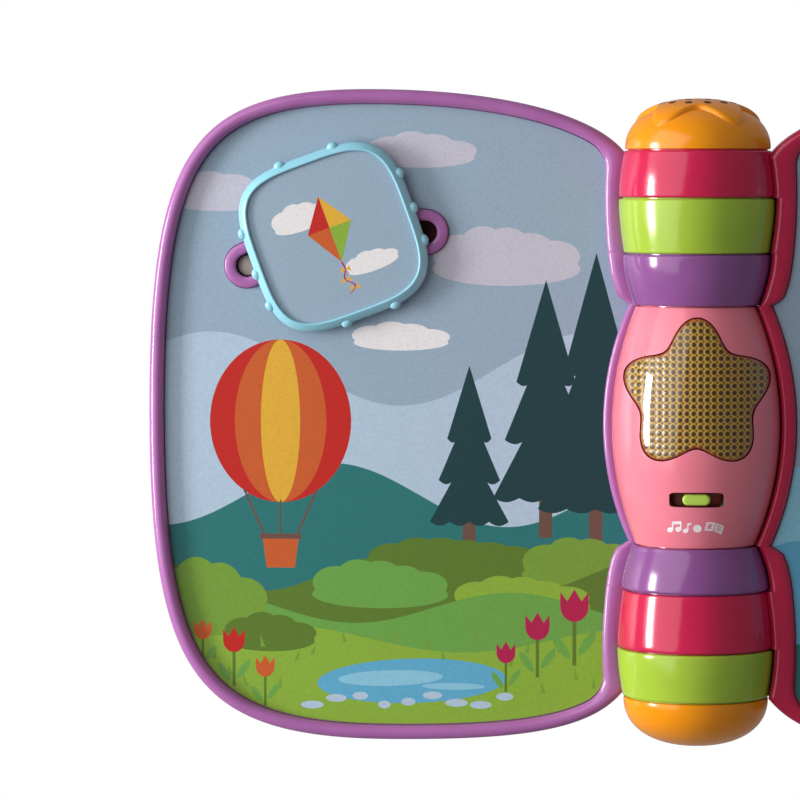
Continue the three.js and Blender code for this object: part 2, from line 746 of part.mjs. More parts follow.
// End cap: a domed shell. The top one carries a raised star with the speaker holes.
function capShell(end, grow = 0) {
  const band = end.cap;
  const steps = 5;
  const outer = [];
  const inner = [];
  for (let i = 0; i <= steps; i++) {
    const t = Math.sin(i / steps * Math.PI / 2);
    const start = band.from + seamGap / 2;
    outer.push([band.radius(t) + grow * (1 - t / 2), end.sign * (start + grow * t
      + (band.to - start) * t)]);
    inner.unshift([band.radius(t) * (1 - wall / capRadius),
      end.sign * (start + (band.to - start - wall) * t)]);
  }
  outer.at(-1)[0] = 0;
  inner[0][0] = 0;
  return { outer, inner };
}
const topCap = capShell(topEnd);
const grilleDome = capShell(topEnd, grilleProud).outer;
const capStart = topEnd.cap.from + seamGap / 2;
let capSolid = revolve([...topCap.outer, ...topCap.inner, topCap.outer[0]]);
const grilleShape = star(grilleMean, grilleLobe);
const grille = new THREE.ExtrudeGeometry(grilleShape, { depth: far, bevelEnabled: false });
grille.rotateX(-Math.PI / 2);
grille.translate(0, capStart + 2, axisHeight);
const capInside = revolve([[0, capStart - 1], ...topCap.inner.toReversed()]);
const grilleBody = solid(grille)
  .intersect(revolve([[0, capStart], ...grilleDome]))
  .subtract(capInside);
capSolid = capSolid.add(grilleBody);
const holes = [[0, 0]];
grilleHoleRings.forEach((radius, ringIndex) => {
  const count = 6 * (ringIndex + 1);
  for (let i = 0; i < count; i++) {
    const angle = (i + 0.5) / count * Math.PI * 2;
    holes.push([radius * Math.sin(angle), radius * Math.cos(angle)]);
  }
});
holes.forEach(([x, z]) => {
  const drill = new THREE.CylinderGeometry(grilleHoleRadius, grilleHoleRadius, capRadius, 6);
  drill.translate(x, topEnd.cap.to, axisHeight + z);
  capSolid = capSolid.subtract(solid(drill));
});
add('top_cap', capSolid, orange, 0.3);
const bottomCap = capShell(bottomEnd);
add('bottom_cap', revolve([...bottomCap.outer, ...bottomCap.inner, bottomCap.outer[0]]),
  orange, 0.3);

// Speaker: magnet, tapered basket and front ring, seated on the tube's flange wall
const speakerFace = capStart + flangeThickness + speakerSeat;
add('speaker', revolve([
  [0, speakerFace - speakerDepth],
  [speakerRadius * 0.55, speakerFace - speakerDepth],
  [speakerRadius * 0.55, speakerFace - speakerDepth * 0.5],
  [speakerRadius - tubeWall - fitGap, speakerFace - 0.6],
  [speakerRadius - tubeWall - fitGap, speakerFace],
  [speakerRadius, speakerFace],
  [speakerRadius, speakerFace + 1.2],
  [speakerRadius * 0.8, speakerFace + 1.2],
  [speakerRadius * 0.35, speakerFace - 2.5],
  [0, speakerFace - 1],
], 24), 0x2b2b2f, 0.5);

export default book;
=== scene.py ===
import bmesh
import bpy
import numpy as np
from mathutils import Matrix, Vector
from mathutils.geometry import delaunay_2d_cdt


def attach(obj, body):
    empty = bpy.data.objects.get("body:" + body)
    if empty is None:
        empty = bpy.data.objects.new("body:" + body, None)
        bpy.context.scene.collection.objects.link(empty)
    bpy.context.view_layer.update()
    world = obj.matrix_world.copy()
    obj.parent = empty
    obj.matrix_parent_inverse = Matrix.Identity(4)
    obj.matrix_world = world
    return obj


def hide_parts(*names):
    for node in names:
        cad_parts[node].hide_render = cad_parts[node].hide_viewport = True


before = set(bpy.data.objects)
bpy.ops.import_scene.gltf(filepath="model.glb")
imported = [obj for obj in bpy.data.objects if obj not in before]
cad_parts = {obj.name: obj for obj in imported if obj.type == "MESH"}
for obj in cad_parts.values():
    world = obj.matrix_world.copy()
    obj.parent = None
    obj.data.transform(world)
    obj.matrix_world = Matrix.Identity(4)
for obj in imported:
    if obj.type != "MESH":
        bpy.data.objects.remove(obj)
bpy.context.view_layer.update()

# Middle housing of the spine: a barrel of glossy pink ABS in two halves, screwed together.
# The upper half has the star opening and the switch slot; the lower one is flat underneath,
# so that the open book stands on it.
mm = 0.001
axis_height = 30.4
centre_top, centre_bottom = 44.9, -44.4
crown_radius, neck_radius = 31.7, 22.7
cap_radius, cap_power, tube_radius = 27.1, 2.3, 14.4
star_y, star_mean, star_lobe, star_gap = 12.8, 24.0, 3.9, 0.5
switch_y, slot_half_length, slot_half_width = -25.8, 10.0, 2.8
seams = {"top": [44.9, 64.3, 85.0, 102.8, 120.3], "bottom": [44.4, 61.3, 83.1, 101.5, 120.1]}


def dome(share):
    """Superellipse of the cap: share of its radius left at a share of its height, and back."""
    return np.maximum(1 - np.clip(share, 0, 1) ** cap_power, 0) ** (1 / cap_power)


def barrel_radius(y):
    """Radius of the spine at y. The middle is a circle's arc from neck to neck; the inner band
    swells as a sine from 23.7 to 27.8, the middle and outer bands bulge together to 29.4 as a
    sine, and the cap is a dome."""
    y = np.asarray(y, float)
    radius = np.zeros_like(y)
    for end, sign in (("top", 1), ("bottom", -1)):
        a, b, c, d, e = seams[end]
        s = y * sign
        rise = crown_radius - neck_radius
        arc = (a * a + rise * rise) / (2 * rise)
        middle = crown_radius - arc + np.sqrt(np.maximum(arc * arc - y * y, 0))
        inner = 23.7 + 4.1 * np.sin((s - a) / (b - a) * np.pi / 2)
        bulge = 27.4 + 2.0 * np.sin(np.clip((s - b) / (c - b), 0, 1) * np.pi / 2)
        outer = 27.4 + 2.0 * np.sin(np.clip((d - s) / (d - c), 0, 1) * np.pi / 2)
        cap = cap_radius * dome((s - d) / (e - d))
        value = np.select([s <= a, s <= b, s <= c, s <= d], [middle, inner, bulge, outer], cap)
        radius = np.where(s >= 0, value, radius)
    return radius


def join(*columns):
    """Points from arrays of their coordinates."""
    return np.stack(columns, -1)


def skin(name, rows, closed=True, material=None, flip=False, sharp=40):
    """A mesh from a grid of points in millimetres, rows by columns: each quad joins two points
    of one row to the two below. closed also joins the last column to the first. Points that
    fall together, as at a pole, are merged."""
    rows = np.asarray(rows, float)
    count, width = rows.shape[:2]
    index = np.arange(count * width).reshape(count, width)
    turn = np.roll(index, -1, axis=1) if closed else index[:, 1:]
    base = index if closed else index[:, :-1]
    quads = join(base[:-1], turn[:-1], turn[1:], base[1:]).reshape(-1, 4)
    if flip:
        quads = quads[:, ::-1]
    mesh = bpy.data.meshes.new(name)
    mesh.from_pydata((rows.reshape(-1, 3) * mm).tolist(), [], quads.tolist())
    work = bmesh.new()
    work.from_mesh(mesh)
    bmesh.ops.remove_doubles(work, verts=work.verts, dist=2e-6)
    bmesh.ops.dissolve_degenerate(work, dist=1e-7, edges=work.edges)
    work.to_mesh(mesh)
    work.free()
    return finish(name, mesh, material, sharp)


def finish(name, mesh, material, sharp=40):
    """Puts a mesh in the scene with smooth shading, sharp past an angle in degrees."""
    mesh.shade_smooth()
    mesh.set_sharp_from_angle(angle=np.radians(sharp))
    piece = bpy.data.objects.new(name, mesh)
    bpy.context.scene.collection.objects.link(piece)
    if material:
        mesh.materials.append(material)
    return piece


def linear(code):
    """Linear colour of an sRGB hex value."""
    value = np.array([int(code[i:i + 2], 16) / 255 for i in (0, 2, 4)])
    value = np.where(value <= 0.04045, value / 12.92, ((value + 0.055) / 1.055) ** 2.4)
    return (*value.tolist(), 1.0)


def add_node(tree, kind, values=None, links=None, **settings):
    """Adds one node with its settings, its socket values and its incoming links."""
    node = tree.nodes.new(kind)
    for key, value in settings.items():
        setattr(node, key, value)
    for socket, value in (values or {}).items():
        node.inputs[socket].default_value = value
    for socket, source in (links or {}).items():
        tree.links.new(source, node.inputs[socket])
    return node


def start_material(name, values):
    """A new material and values on its shader's sockets. Gives the material, its node tree, its
    shader and the output of object coordinates."""
    material = bpy.data.materials.new(name)
    material.use_nodes = True
    tree = material.node_tree
    shader = tree.nodes["Principled BSDF"]
    for socket, value in values.items():
        shader.inputs[socket].default_value = value
    return material, tree, shader, add_node(tree, "ShaderNodeTexCoord").outputs["Object"]


def noise(tree, place, grain, detail):
    """Noise with a grain in metres."""
    return add_node(tree, "ShaderNodeTexNoise", {"Scale": 1 / grain, "Detail": detail},
                    {"Vector": place}).outputs["Fac"]


def ramp(tree, source, *stops):
    """Colour ramp through stops, each given as its position and colour."""
    node = add_node(tree, "ShaderNodeValToRGB", links={"Fac": source})
    elements = node.color_ramp.elements
    for number, (position, colour) in enumerate(stops):
        stop = elements[number] if number < 2 else elements.new(position)
        stop.position, stop.color = position, linear(colour)
    return node.outputs["Color"]


def mottle(tree, place, grain, detail, first, second):
    """Noise coloured between two stops of a ramp."""
    return ramp(tree, noise(tree, place, grain, detail), first, second)


def waviness(tree, place, grain, strength, depth):
    """Normal of a surface that a smooth noise with a grain in metres tilts a little."""
    return add_node(tree, "ShaderNodeBump", {"Strength": strength, "Distance": depth},
                    {"Height": noise(tree, place, grain, 1.0)}).outputs["Normal"]


def moulded_abs(name, light, dark, roughness=0.2):
    """Injection-moulded glossy ABS. The melt leaves cloudy tone some 25 mm across, the polished
    tool leaves a faint waviness of about 3 mm, and handling leaves fine dull smears."""
    material, tree, shader, place = start_material(name, {"IOR": 1.53})
    tone = mottle(tree, place, 0.025, 3.0, (0.3, dark), (0.7, light))
    dull = add_node(tree, "ShaderNodeMapRange", {"From Min": 0.35, "From Max": 0.75,
                    "To Min": roughness, "To Max": roughness + 0.05},
                    {"Value": noise(tree, place, 0.006, 5.0)})
    tree.links.new(tone, shader.inputs["Base Color"])
    tree.links.new(dull.outputs["Result"], shader.inputs["Roughness"])
    tree.links.new(waviness(tree, place, 0.003, 0.05, 0.0004), shader.inputs["Normal"])
    return material


pink_abs = moulded_abs("pink_moulded_abs", "f48898", "f07d8f", 0.14)


def on_barrel(x, y, grow=0.0):
    """Point of the spine above plan place x, y, with the surface moved out by grow."""
    radius = barrel_radius(y) + grow
    z = axis_height + np.sqrt(np.maximum(radius ** 2 - x ** 2, 0))
    return join(x, y, z)


def star_radius(angle, grow=0.0):
    """Star outline: its radius is a mean plus a five-lobed cosine. Smaller cosines of one, two
    and three turns lengthen the two lower lobes and fill the hollows beside them."""
    uneven = 0.9 * np.cos(3 * angle) - 0.45 * np.cos(angle) - 0.55 * np.cos(2 * angle)
    return star_mean + grow + star_lobe * np.cos(5 * angle) + uneven + 0.2


def housing_patch(name, low, high, centre, hole):
    """Upper skin of the barrel between two places along the axis, round one opening. In the
    unrolled surface, points run on straight lines from the opening's outline to the patch's
    edge, and are then rolled onto the barrel. The opening's wall goes straight down."""
    u_edge = np.pi / 2
    corners = [(0, high), (-u_edge, high), (-u_edge, low), (u_edge, low), (u_edge, high), (0, high)]
    border = np.concatenate([np.linspace(corners[k], corners[k + 1], count, False)
                             for k, count in enumerate((30, 46, 60, 46, 30))])
    angle = np.arctan2(-border[:, 0] * crown_radius, border[:, 1] - centre)
    inner = hole(angle)
    inner_u = np.arcsin(np.clip(inner[:, 0] / barrel_radius(inner[:, 1]), -1, 1))
    t = np.linspace(0, 1, 26)[:, None] ** 1.3
    u = (1 - t) * inner_u + t * border[:, 0]
    y = (1 - t) * inner[:, 1] + t * border[:, 1]
    radius = barrel_radius(np.clip(y, centre_bottom, centre_top))
    rows = join(radius * np.sin(u), y, axis_height + radius * np.cos(u))
    wall = np.stack([rows[0] - [0, 0, drop] for drop in (2.4, 0.5, 0.12)])
    return skin(name, np.concatenate([wall, rows]), material=pink_abs, sharp=50)


def star_hole(angle):
    """Plan place of the star opening's edge: the star's outline, larger by the gap."""
    r = star_radius(angle, star_gap)
    return join(-r * np.sin(angle), star_y + r * np.cos(angle))


def slot_hole(angle):
    """Rounded bar: where a ray leaves the box of the slot, with its corners drawn in."""
    power = 7
    size = (np.abs(np.sin(angle) / slot_half_length) ** power
            + np.abs(np.cos(angle) / slot_half_width) ** power) ** (-1 / power)
    return join(-size * np.sin(angle), switch_y + size * np.cos(angle))


divide = -13.5
upper = housing_patch("spine_front_star", divide, centre_top - 0.5, star_y, star_hole)
lower = housing_patch("spine_front_switch", centre_bottom + 0.5, divide, switch_y, slot_hole)
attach(upper, "base")
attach(lower, "base")
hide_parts("spine_front_shell")
turns, along = np.meshgrid(np.linspace(np.pi / 2, np.pi * 1.5, 61),
                           np.linspace(centre_bottom + 0.5, centre_top - 0.5, 61))
radius = barrel_radius(along)
under = join(radius * np.sin(turns), along,
             np.maximum(axis_height + radius * np.cos(turns), 0))
spine_under = skin("spine_back", under, closed=False, material=pink_abs, flip=True)
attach(spine_under, "base")
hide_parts("spine_back_shell")


def full_turn(steps):
    """Angles once round, without the last."""
    return np.linspace(0, 2 * np.pi, steps, endpoint=False)


def turned(name, profile, material, flip, steps=144):
    """A body of revolution about the hinge axis from pairs of radius and place along it."""
    profile = np.asarray(profile, float)
    angle = full_turn(steps)
    x = profile[:, :1] * np.sin(angle)
    z = profile[:, :1] * np.cos(angle)
    y = np.repeat(profile[:, 1:], steps, axis=1)
    return skin(name, join(x, y, axis_height + z), material=material, flip=flip)


for end, edge, sign in (("top", centre_top, 1), ("bottom", centre_bottom, -1)):
    near = edge - 0.5 * sign
    neck = float(barrel_radius(near))
    profile = [(neck - drop, near + step * sign) for drop, step in (
        (0, 0), (0.1, 0.2), (0.4, 0.27), (1.6, 0.27), (1.6, 0.65), (neck - 14.3, 0.65))]
    disc = turned(f"spine_end_{end}", profile, pink_abs, flip=sign < 0)
    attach(disc, "base")

# Star lens: clear amber acrylic, smooth and glossy outside, moulded inside with rows of small
# round cells that scatter the lamps, with a painted highlight where the cells meet. It is a push
# button with a gap all round, and its thick rounded edge is coloured darker and redder: painted
# shade.
cell_pitch = 2.5
lens_angle = full_turn(360)
share = np.concatenate([np.linspace(0, 0.93, 32), 1 - 0.07 * np.linspace(1, 0, 12)[1:] ** 1.5])
share = share[:, None]
lens_r = share * star_radius(lens_angle)
lens_x = -lens_r * np.sin(lens_angle)
lens_y = star_y + lens_r * np.cos(lens_angle)
edge = np.clip(1 - (1 - share) * star_mean / 1.1, 0, 1)
lens = on_barrel(lens_x, lens_y, 0.12)
lens[..., 2] -= 0.75 * (1 - np.sqrt(1 - edge ** 2))
foot = lens[-1:].copy()
foot[..., 2] -= 2.2


def cell_pattern(tree, place, pitch):
    """Distance from the middle of a square cell, in cells, for a plan place in metres."""
    scaled = add_node(tree, "ShaderNodeVectorMath", {1: (1 / pitch, 1 / pitch, 0.0)},
                      {0: place}, operation="MULTIPLY")
    bit = add_node(tree, "ShaderNodeVectorMath", None, {0: scaled.outputs[0]},
                   operation="FRACTION")
    middle = add_node(tree, "ShaderNodeVectorMath", {1: (0.5, 0.5, 0.0)},
                      {0: bit.outputs[0]}, operation="SUBTRACT")
    return add_node(tree, "ShaderNodeVectorMath", None, {0: middle.outputs[0]},
                    operation="LENGTH").outputs["Value"]


def clear_amber(name):
    """Tinted acrylic: each cell is dark brown in its middle, olive round it and bright yellow
    where it meets the next; the bright yellow is a painted highlight. The edge is mixed towards
    orange-brown as painted shade. The smooth front carries one unbroken reflection."""
    material, tree, shader, place = start_material(name, {
        "Roughness": 0.28, "IOR": 1.49, "Coat Weight": 1.0, "Coat Roughness": 0.04})
    reach = cell_pattern(tree, place, cell_pitch * mm)
    # The bright yellow stop where the cells meet is a painted highlight.
    cell = ramp(tree, reach, (0.16, "3a2009"), (0.62, "7c5414"), (0.27, "64400f"),
                (0.38, "8e691a"), (0.46, "e0bf48"), (0.53, "a47a1e"))
    warm = mottle(tree, place, 0.014, 2.0, (0, "b9b070"), (1, "ffd9a0"))
    tint = add_node(tree, "ShaderNodeMix", {0: 0.35}, {6: cell, 7: warm},
                    data_type="RGBA", blend_type="MULTIPLY")
    # This share mixes the lens edge towards orange-brown: painted shade.
    edge = add_node(tree, "ShaderNodeAttribute", attribute_name="painted_edge_shade").outputs["Fac"]
    edge_shade_mix = add_node(tree, "ShaderNodeMix", {7: linear("a8521c")},
                       {0: edge, 6: tint.outputs[2]}, data_type="RGBA")
    tree.links.new(edge_shade_mix.outputs[2], shader.inputs["Base Color"])
    dome = add_node(tree, "ShaderNodeMapRange", {"From Min": 0.1, "From Max": 0.55,
                    "To Min": 1.0, "To Max": 0.0}, {"Value": reach})
    bump = add_node(tree, "ShaderNodeBump", {"Strength": 0.5, "Distance": 0.0006},
                    {"Height": dome.outputs["Result"]})
    tree.links.new(bump.outputs["Normal"], shader.inputs["Normal"])
    return material


star_lens = skin("star_lens_bumped", np.concatenate([lens, foot]),
                 material=clear_amber("amber_moulded_acrylic"), sharp=80)
places = np.empty(len(star_lens.data.vertices) * 3)
star_lens.data.vertices.foreach_get("co", places)
places = places.reshape(-1, 3) / mm
around = np.arctan2(-places[:, 0], places[:, 1] - star_y)
inward = star_radius(around) - np.hypot(places[:, 0], places[:, 1] - star_y)
# Share of painted shade on the lens edge, highest at its rim.
attribute = star_lens.data.attributes.new("painted_edge_shade", "FLOAT", "POINT")
attribute.data.foreach_set("value", np.clip(1.25 - inward / 1.1, 0, 1).astype(np.float32))
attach(star_lens, "star")
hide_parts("star_lens")

# Mode knob: a small lime ABS slider with a shallow dent across its middle. It snaps onto the
# slide switch, and a thin skirt 4.5 mm below the surface hides the inside from the slot; the
# skirt's dark brown is painted shade of the slot's inside.
lime_abs = moulded_abs("lime_moulded_abs", "a9c63e", "a0be36", 0.13)


def capsule_bar(name, length, width, low, high, centre, material, edge=0.9):
    """Bar with half-round ends in plan and a quarter-circle edge along its top. Each row is the
    plan outline, drawn in by the edge's cosine; a shallow dent crosses its middle."""
    t = full_turn(96)
    shift = np.sign(np.cos(t)) * (length - width) / 2
    rows = []
    steps = [(0.0, low)] + [(edge * (1 - np.cos(v)), high - edge * (1 - np.sin(v)))
                            for v in np.linspace(0, np.pi / 2, 9)]
    steps += [(edge + (width / 2 - edge) * v, high + 0.1 * v) for v in (0.3, 0.6, 0.85, 0.999)]
    for inset, z in steps:
        x = shift + (width / 2 - inset) * np.cos(t)
        y = (width / 2 - inset) * np.sin(t)
        dent = 0.35 * np.exp(-(x / 0.8) ** 2) * (z > high - 0.2)
        rows.append(join(centre[0] + x, centre[1] + y, z - dent))
    return skin(name, np.array(rows), material=material, sharp=50)


knob_crest = axis_height + float(barrel_radius(switch_y)) - 0.9
knob_length, knob_width, knob_height = 10.3, 4.2, 3.4
knob = capsule_bar("mode_knob_grip", knob_length, knob_width, knob_crest - knob_height,
                   knob_crest, (0, switch_y),
                   moulded_abs("light_lime_moulded_abs", "bedd5c", "b5d454", 0.16))
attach(knob, "knob")
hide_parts("mode_knob")
# Dark brown of the skirt: painted shade inside the slot.
slot_shade_abs = moulded_abs("slot_shade_dark_brown_abs", "6a2a14", "57200f", 0.4)
skirt_x, skirt_y = np.meshgrid(np.linspace(-12.3, 12.3, 33),
                               np.linspace(switch_y - 3.7, switch_y + 3.7, 9))
skirt = skin("mode_knob_skirt", on_barrel(skirt_x, skirt_y, -4.5), closed=False,
             material=slot_shade_abs, flip=True)
skirt.modifiers.new("thickness", "SOLIDIFY").thickness = 0.5 * mm
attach(skirt, "knob")

# Mode signs: small white pad prints below the slot, a pair of notes, one note, a dot and a book.
# Each is a flat shape laid on the curve of the housing, and the ink thins out in tiny specks.


def speckled(name, grain, first, second, roughness):
    """Matt finish with specks, its colour between two ramp stops of position and colour."""
    material, tree, shader, place = start_material(name, {"Roughness": roughness})
    tree.links.new(mottle(tree, place, grain, 2.0, first, second), shader.inputs["Base Color"])
    return material


white_ink = speckled("white_pad_print_ink", 0.0006, (0.2, "f6dfe2"), (0.5, "fdf4f4"), 0.5)


def oval(x, y, a, b, turn=0.0, steps=28):
    """Ellipse about x, y with half-lengths a and b, turned by degrees."""
    t = full_turn(steps)
    c, s = np.cos(np.radians(turn)), np.sin(np.radians(turn))
    return join(x + a * np.cos(t) * c - b * np.sin(t) * s,
                y + a * np.cos(t) * s + b * np.sin(t) * c)


def bar(x0, y0, x1, y1, width):
    """Straight stroke of a width between two points."""
    along = np.array([x1 - x0, y1 - y0]) / np.hypot(x1 - x0, y1 - y0)
    side = np.array([-along[1], along[0]]) * width / 2
    a, b = np.array([x0, y0]), np.array([x1, y1])
    return np.stack([a - side, b - side, b + side, a + side])


def flat_shapes(name, shapes, height, material):
    """Flat shapes, each a fan of triangles, at the height that a function of x, y gives."""
    points, faces = [], []
    for shape in shapes:
        start = len(points)
        points.extend(height(shape[:, 0], shape[:, 1]).tolist())
        faces.append(list(range(start, start + len(shape))))
    mesh = bpy.data.meshes.new(name)
    mesh.from_pydata((np.array(points) * mm).tolist(), [], faces)
    return finish(name, mesh, material)


sign_y = -36.2
turn = np.radians(-14)
swing = np.array([[np.cos(turn), np.sin(turn)], [-np.sin(turn), np.cos(turn)]])
book_place = np.array([6.6, sign_y])
signs = [
    oval(-9.6, -1.0, 1.15, 0.95, 20), oval(-6.6, -0.7, 1.15, 0.95, 20),
    bar(-8.7, -0.9, -8.7, 1.9, 0.55), bar(-5.7, -0.6, -5.7, 2.1, 0.55),
    bar(-8.95, 1.6, -5.45, 1.9, 1.1), oval(-3.9, -1.2, 1.05, 0.85, 20),
    bar(-3.1, -1.1, -3.1, 1.4, 0.5), bar(-3.1, 1.2, -1.8, 1.6, 0.8), oval(0.4, -0.3, 1.6, 1.45)]
signs = [shape + [0, sign_y] for shape in signs]
book_left = np.array([[-3.3, -1.9], [-0.15, -1.3], [-0.15, 2.0], [-3.3, 1.4]])
book_right = np.array([[0.15, -1.3], [3.3, -1.9], [3.3, 1.4], [0.15, 2.0]])
signs += [book_left @ swing + book_place, book_right @ swing + book_place]
sign_print = flat_shapes("mode_signs", signs, lambda x, y: on_barrel(x, y, 0.07), white_ink)
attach(sign_print, "base")
book_lines = [bar(*ends, 0.28) for y in (0.7, -0.1, -0.9)
              for ends in ((-2.6, y, -0.8, y + 0.4), (0.8, y + 0.4, 2.6, y))]
sign_lines = flat_shapes("mode_sign_lines", [line @ swing + book_place for line in book_lines],
                         lambda x, y: on_barrel(x, y, 0.11), pink_abs)
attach(sign_lines, "base")

# Hinge rings: six glossy ABS barrels that turn on the fixed tubes, two of purple moulded with
# the cover, two of red with one leaf and two of lime with the other. The purple pair takes a
# darker, bluer copy of the cover's purple: painted shade. A lip inside each one closes the seam
# to its outer neighbour.
purple_abs = moulded_abs("purple_moulded_abs", "b26fae", "a763a4", 0.15)
# Darker copy of the cover's purple for its rings: painted shade.
purple_ring_shaded_copy = moulded_abs("purple_abs_painted_shade", "935896", "894e8c", 0.13)
red_abs = moulded_abs("rose_red_moulded_abs", "d21e50", "c81948", 0.13)
half_gap, fillet = 0.25, 0.9


def ring_profile(a, b, sign):
    """Section of a ring: end wall, quarter-circle edge, the barrel's curve, edge, end wall
    and the lip under the next ring."""
    a, b = a + half_gap, b - half_gap
    t = np.linspace(0, np.pi / 2, 7)
    y = np.linspace(a + fillet, b - fillet, 17)
    ra, rb = float(barrel_radius(sign * (a + fillet))), float(barrel_radius(sign * (b - fillet)))
    first = join(ra - fillet + fillet * np.sin(t), a + fillet - fillet * np.cos(t))
    body = join(barrel_radius(sign * y), y)[1:-1]
    last = join(rb - fillet + fillet * np.cos(t), b - fillet + fillet * np.sin(t))
    lip = b + 2 * half_gap - 0.08
    profile = np.concatenate([[[tube_radius, a]], first, body, last,
                              [[rb - 1.6, b], [rb - 1.6, lip], [tube_radius, lip]]])
    return profile * [1, sign]


for body, top_band, bottom_band, material, slot in (
        ("cover", 0, 0, purple_ring_shaded_copy, "purple_shell"), ("leaf_a", 2, 1, red_abs, "red_shell"),
        ("leaf_b", 1, 2, lime_abs, "green_shell")):
    for end, number, sign in (("top", top_band, 1), ("bottom", bottom_band, -1)):
        section = ring_profile(seams[end][number], seams[end][number + 1], sign)
        ring = turned(f"{body}_ring_{end}", section, material, flip=sign < 0)
        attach(ring, body)

# End caps: domed orange ABS, pushed over the flange of the tubes. The top one carries a raised
# star with the holes of the speaker in two rings round a middle one.
orange_abs = moulded_abs("orange_moulded_abs", "fa9903", "f49101", 0.16)
for end, sign in (("top", 1), ("bottom", -1)):
    start, stop = seams[end][3] + half_gap, seams[end][4]
    t = np.sin(np.linspace(0, np.pi / 2, 44))
    y = start + (stop - start) * t
    lead = [[tube_radius, start], [26.6, start], [27.0, start + 0.25]]
    profile = np.concatenate([lead, join(cap_radius * dome(t), y)[2:]]) * [1, sign]
    cap = turned(f"{end}_cap_dome", profile, orange_abs, flip=sign < 0)
    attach(cap, "base")
    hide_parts(f"{end}_cap")

# The raised star of the grille: a skin 1.6 mm above the dome, inside a five-lobed outline, with
# a rounded edge that falls to the dome.
grille_mean, grille_lobe, grille_proud = 20.5, 4.2, 1.6


def cap_dome(radius):
    """Place along the axis of the top cap's dome at a distance from the axis, by the inverse
    of its superellipse."""
    reach = seams["top"][4] - seams["top"][3] - half_gap
    return seams["top"][3] + half_gap + reach * dome(radius / cap_radius)


angle = full_turn(300)
outline_r = grille_mean + grille_lobe * np.cos(5 * angle)
share = np.concatenate([np.linspace(0, 0.93, 30),
                        0.93 + 0.07 * np.sin(np.linspace(0, np.pi / 2, 8))[1:]])
edge = np.clip((share - 0.93) / 0.07, 0, 1)
lift = grille_proud * np.sqrt(1 - edge ** 2)
lift[-1] = -0.6
plate_r = share[:, None] * outline_r
plate_y = cap_dome(plate_r) + lift[:, None]
plate = join(-plate_r * np.sin(angle), plate_y, axis_height - plate_r * np.cos(angle))
grille = skin("top_cap_grille_star", plate, material=orange_abs, sharp=60)
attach(grille, "base")

places = [(0.0, 0.0)] + [(r * np.sin(a), r * np.cos(a)) for r, n in ((7, 6), (13.5, 12))
                         for a in (np.arange(n) + 0.5) / n * 2 * np.pi]
speaker_holes = flat_shapes(
    "speaker_holes", [oval(x, z, 1.4, 1.4, 0, 20)[::-1] for x, z in places],
    lambda x, z: join(x, cap_dome(np.hypot(x, z)) + grille_proud + 0.06, axis_height + z),
    speckled("speaker_hole_shadow", 0.001, (0, "3a1b04"), (1, "5e3006"), 0.9))
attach(speaker_holes, "base")

# Left cover: a purple ABS tray in two shells. Its rim is a bead 5.3 mm wide that follows the
# outline and the barrel; the recess inside it takes the printed page.
page_reach, page_middle, page_top, page_bottom = 208.0, 2.2, 125.9, 121.2
crown_top, crown_bottom = 125.0, 117.0
corner_x, corner_top, corner_bottom = 28.9, 103.5, 103.7
tuck_x, tuck_drop, corner_fullness = 20.0, 10.0, 0.81
sweep_x, sweep_y, crown_sweep = 12.3, 13.4, 50.0
band_end, barrel_gap, joined_gap, middle_reach, soft_corner = 95.0, 0.8, -0.4, 5.8, 7.5
rim_width, board_top, floor_top, page_level, parting = 5.3, 20.0, 15.1, 15.7, 8.0


def bezier(p0, p1, p2, p3, steps=700):
    """Cubic curve through p0 and p3, pulled towards p1 and p2."""
    t = np.linspace(0, 1, steps)[:, None]
    p0, p1, p2, p3 = map(np.array, (p0, p1, p2, p3))
    return (1 - t) ** 3 * p0 + 3 * (1 - t) ** 2 * t * p1 + 3 * (1 - t) * t ** 2 * p2 + t ** 3 * p3


def outline():
    """Outline of a board on the right-hand side, from the spine below to the spine above:
    four cubic curves, and a straight piece at each end that tucks under the barrel."""
    k = corner_fullness
    far, far_top = page_reach - crown_bottom, page_reach - crown_top
    low = page_bottom + page_middle
    parts = [
        np.linspace([tuck_x, -corner_bottom + tuck_drop], [corner_x, -corner_bottom], 200),
        bezier((corner_x, -corner_bottom), (corner_x + sweep_x, -corner_bottom - sweep_y),
               (crown_bottom - crown_sweep, -page_bottom), (crown_bottom, -page_bottom)),
        bezier((crown_bottom, -page_bottom), (crown_bottom + far * k, -page_bottom),
               (page_reach, page_middle - low * k), (page_reach, page_middle)),
        bezier((page_reach, page_middle), (page_reach, page_middle + (page_top - page_middle) * k),
               (crown_top + far_top * k, page_top), (crown_top, page_top)),
        bezier((crown_top, page_top), (crown_top - crown_sweep, page_top),
               (corner_x + sweep_x, corner_top + sweep_y), (corner_x, corner_top)),
        np.linspace([corner_x, corner_top], [tuck_x, corner_top - tuck_drop], 200),
    ]
    return np.concatenate([parts[0]] + [p[1:] for p in parts[1:]])


board_outline = outline()
slope = np.gradient(board_outline, axis=0)
slope /= np.linalg.norm(slope, axis=1)[:, None]
seam_places = [*seams["top"][:3], *(-y for y in seams["bottom"][:3])]
knots = np.unique(np.concatenate([np.linspace(-band_end, band_end, 161),
                                  [y + step for y in seam_places for step in (-0.06, 0.06)]]))
# Reach of the rim's inner line from the hinge axis beside the bands, by distance along the axis.
band_place = [44.9, 46, 48, 52, 57, 62, 68.4, 76, 85, 91, 96.6, 102.8, 110]
band_reach = [28.3, 30.2, 32.7, 34.0, 35.1, 35.8, 36.4, 36.9, 37.1, 37.0, 36.8, 36.0, 35.0]


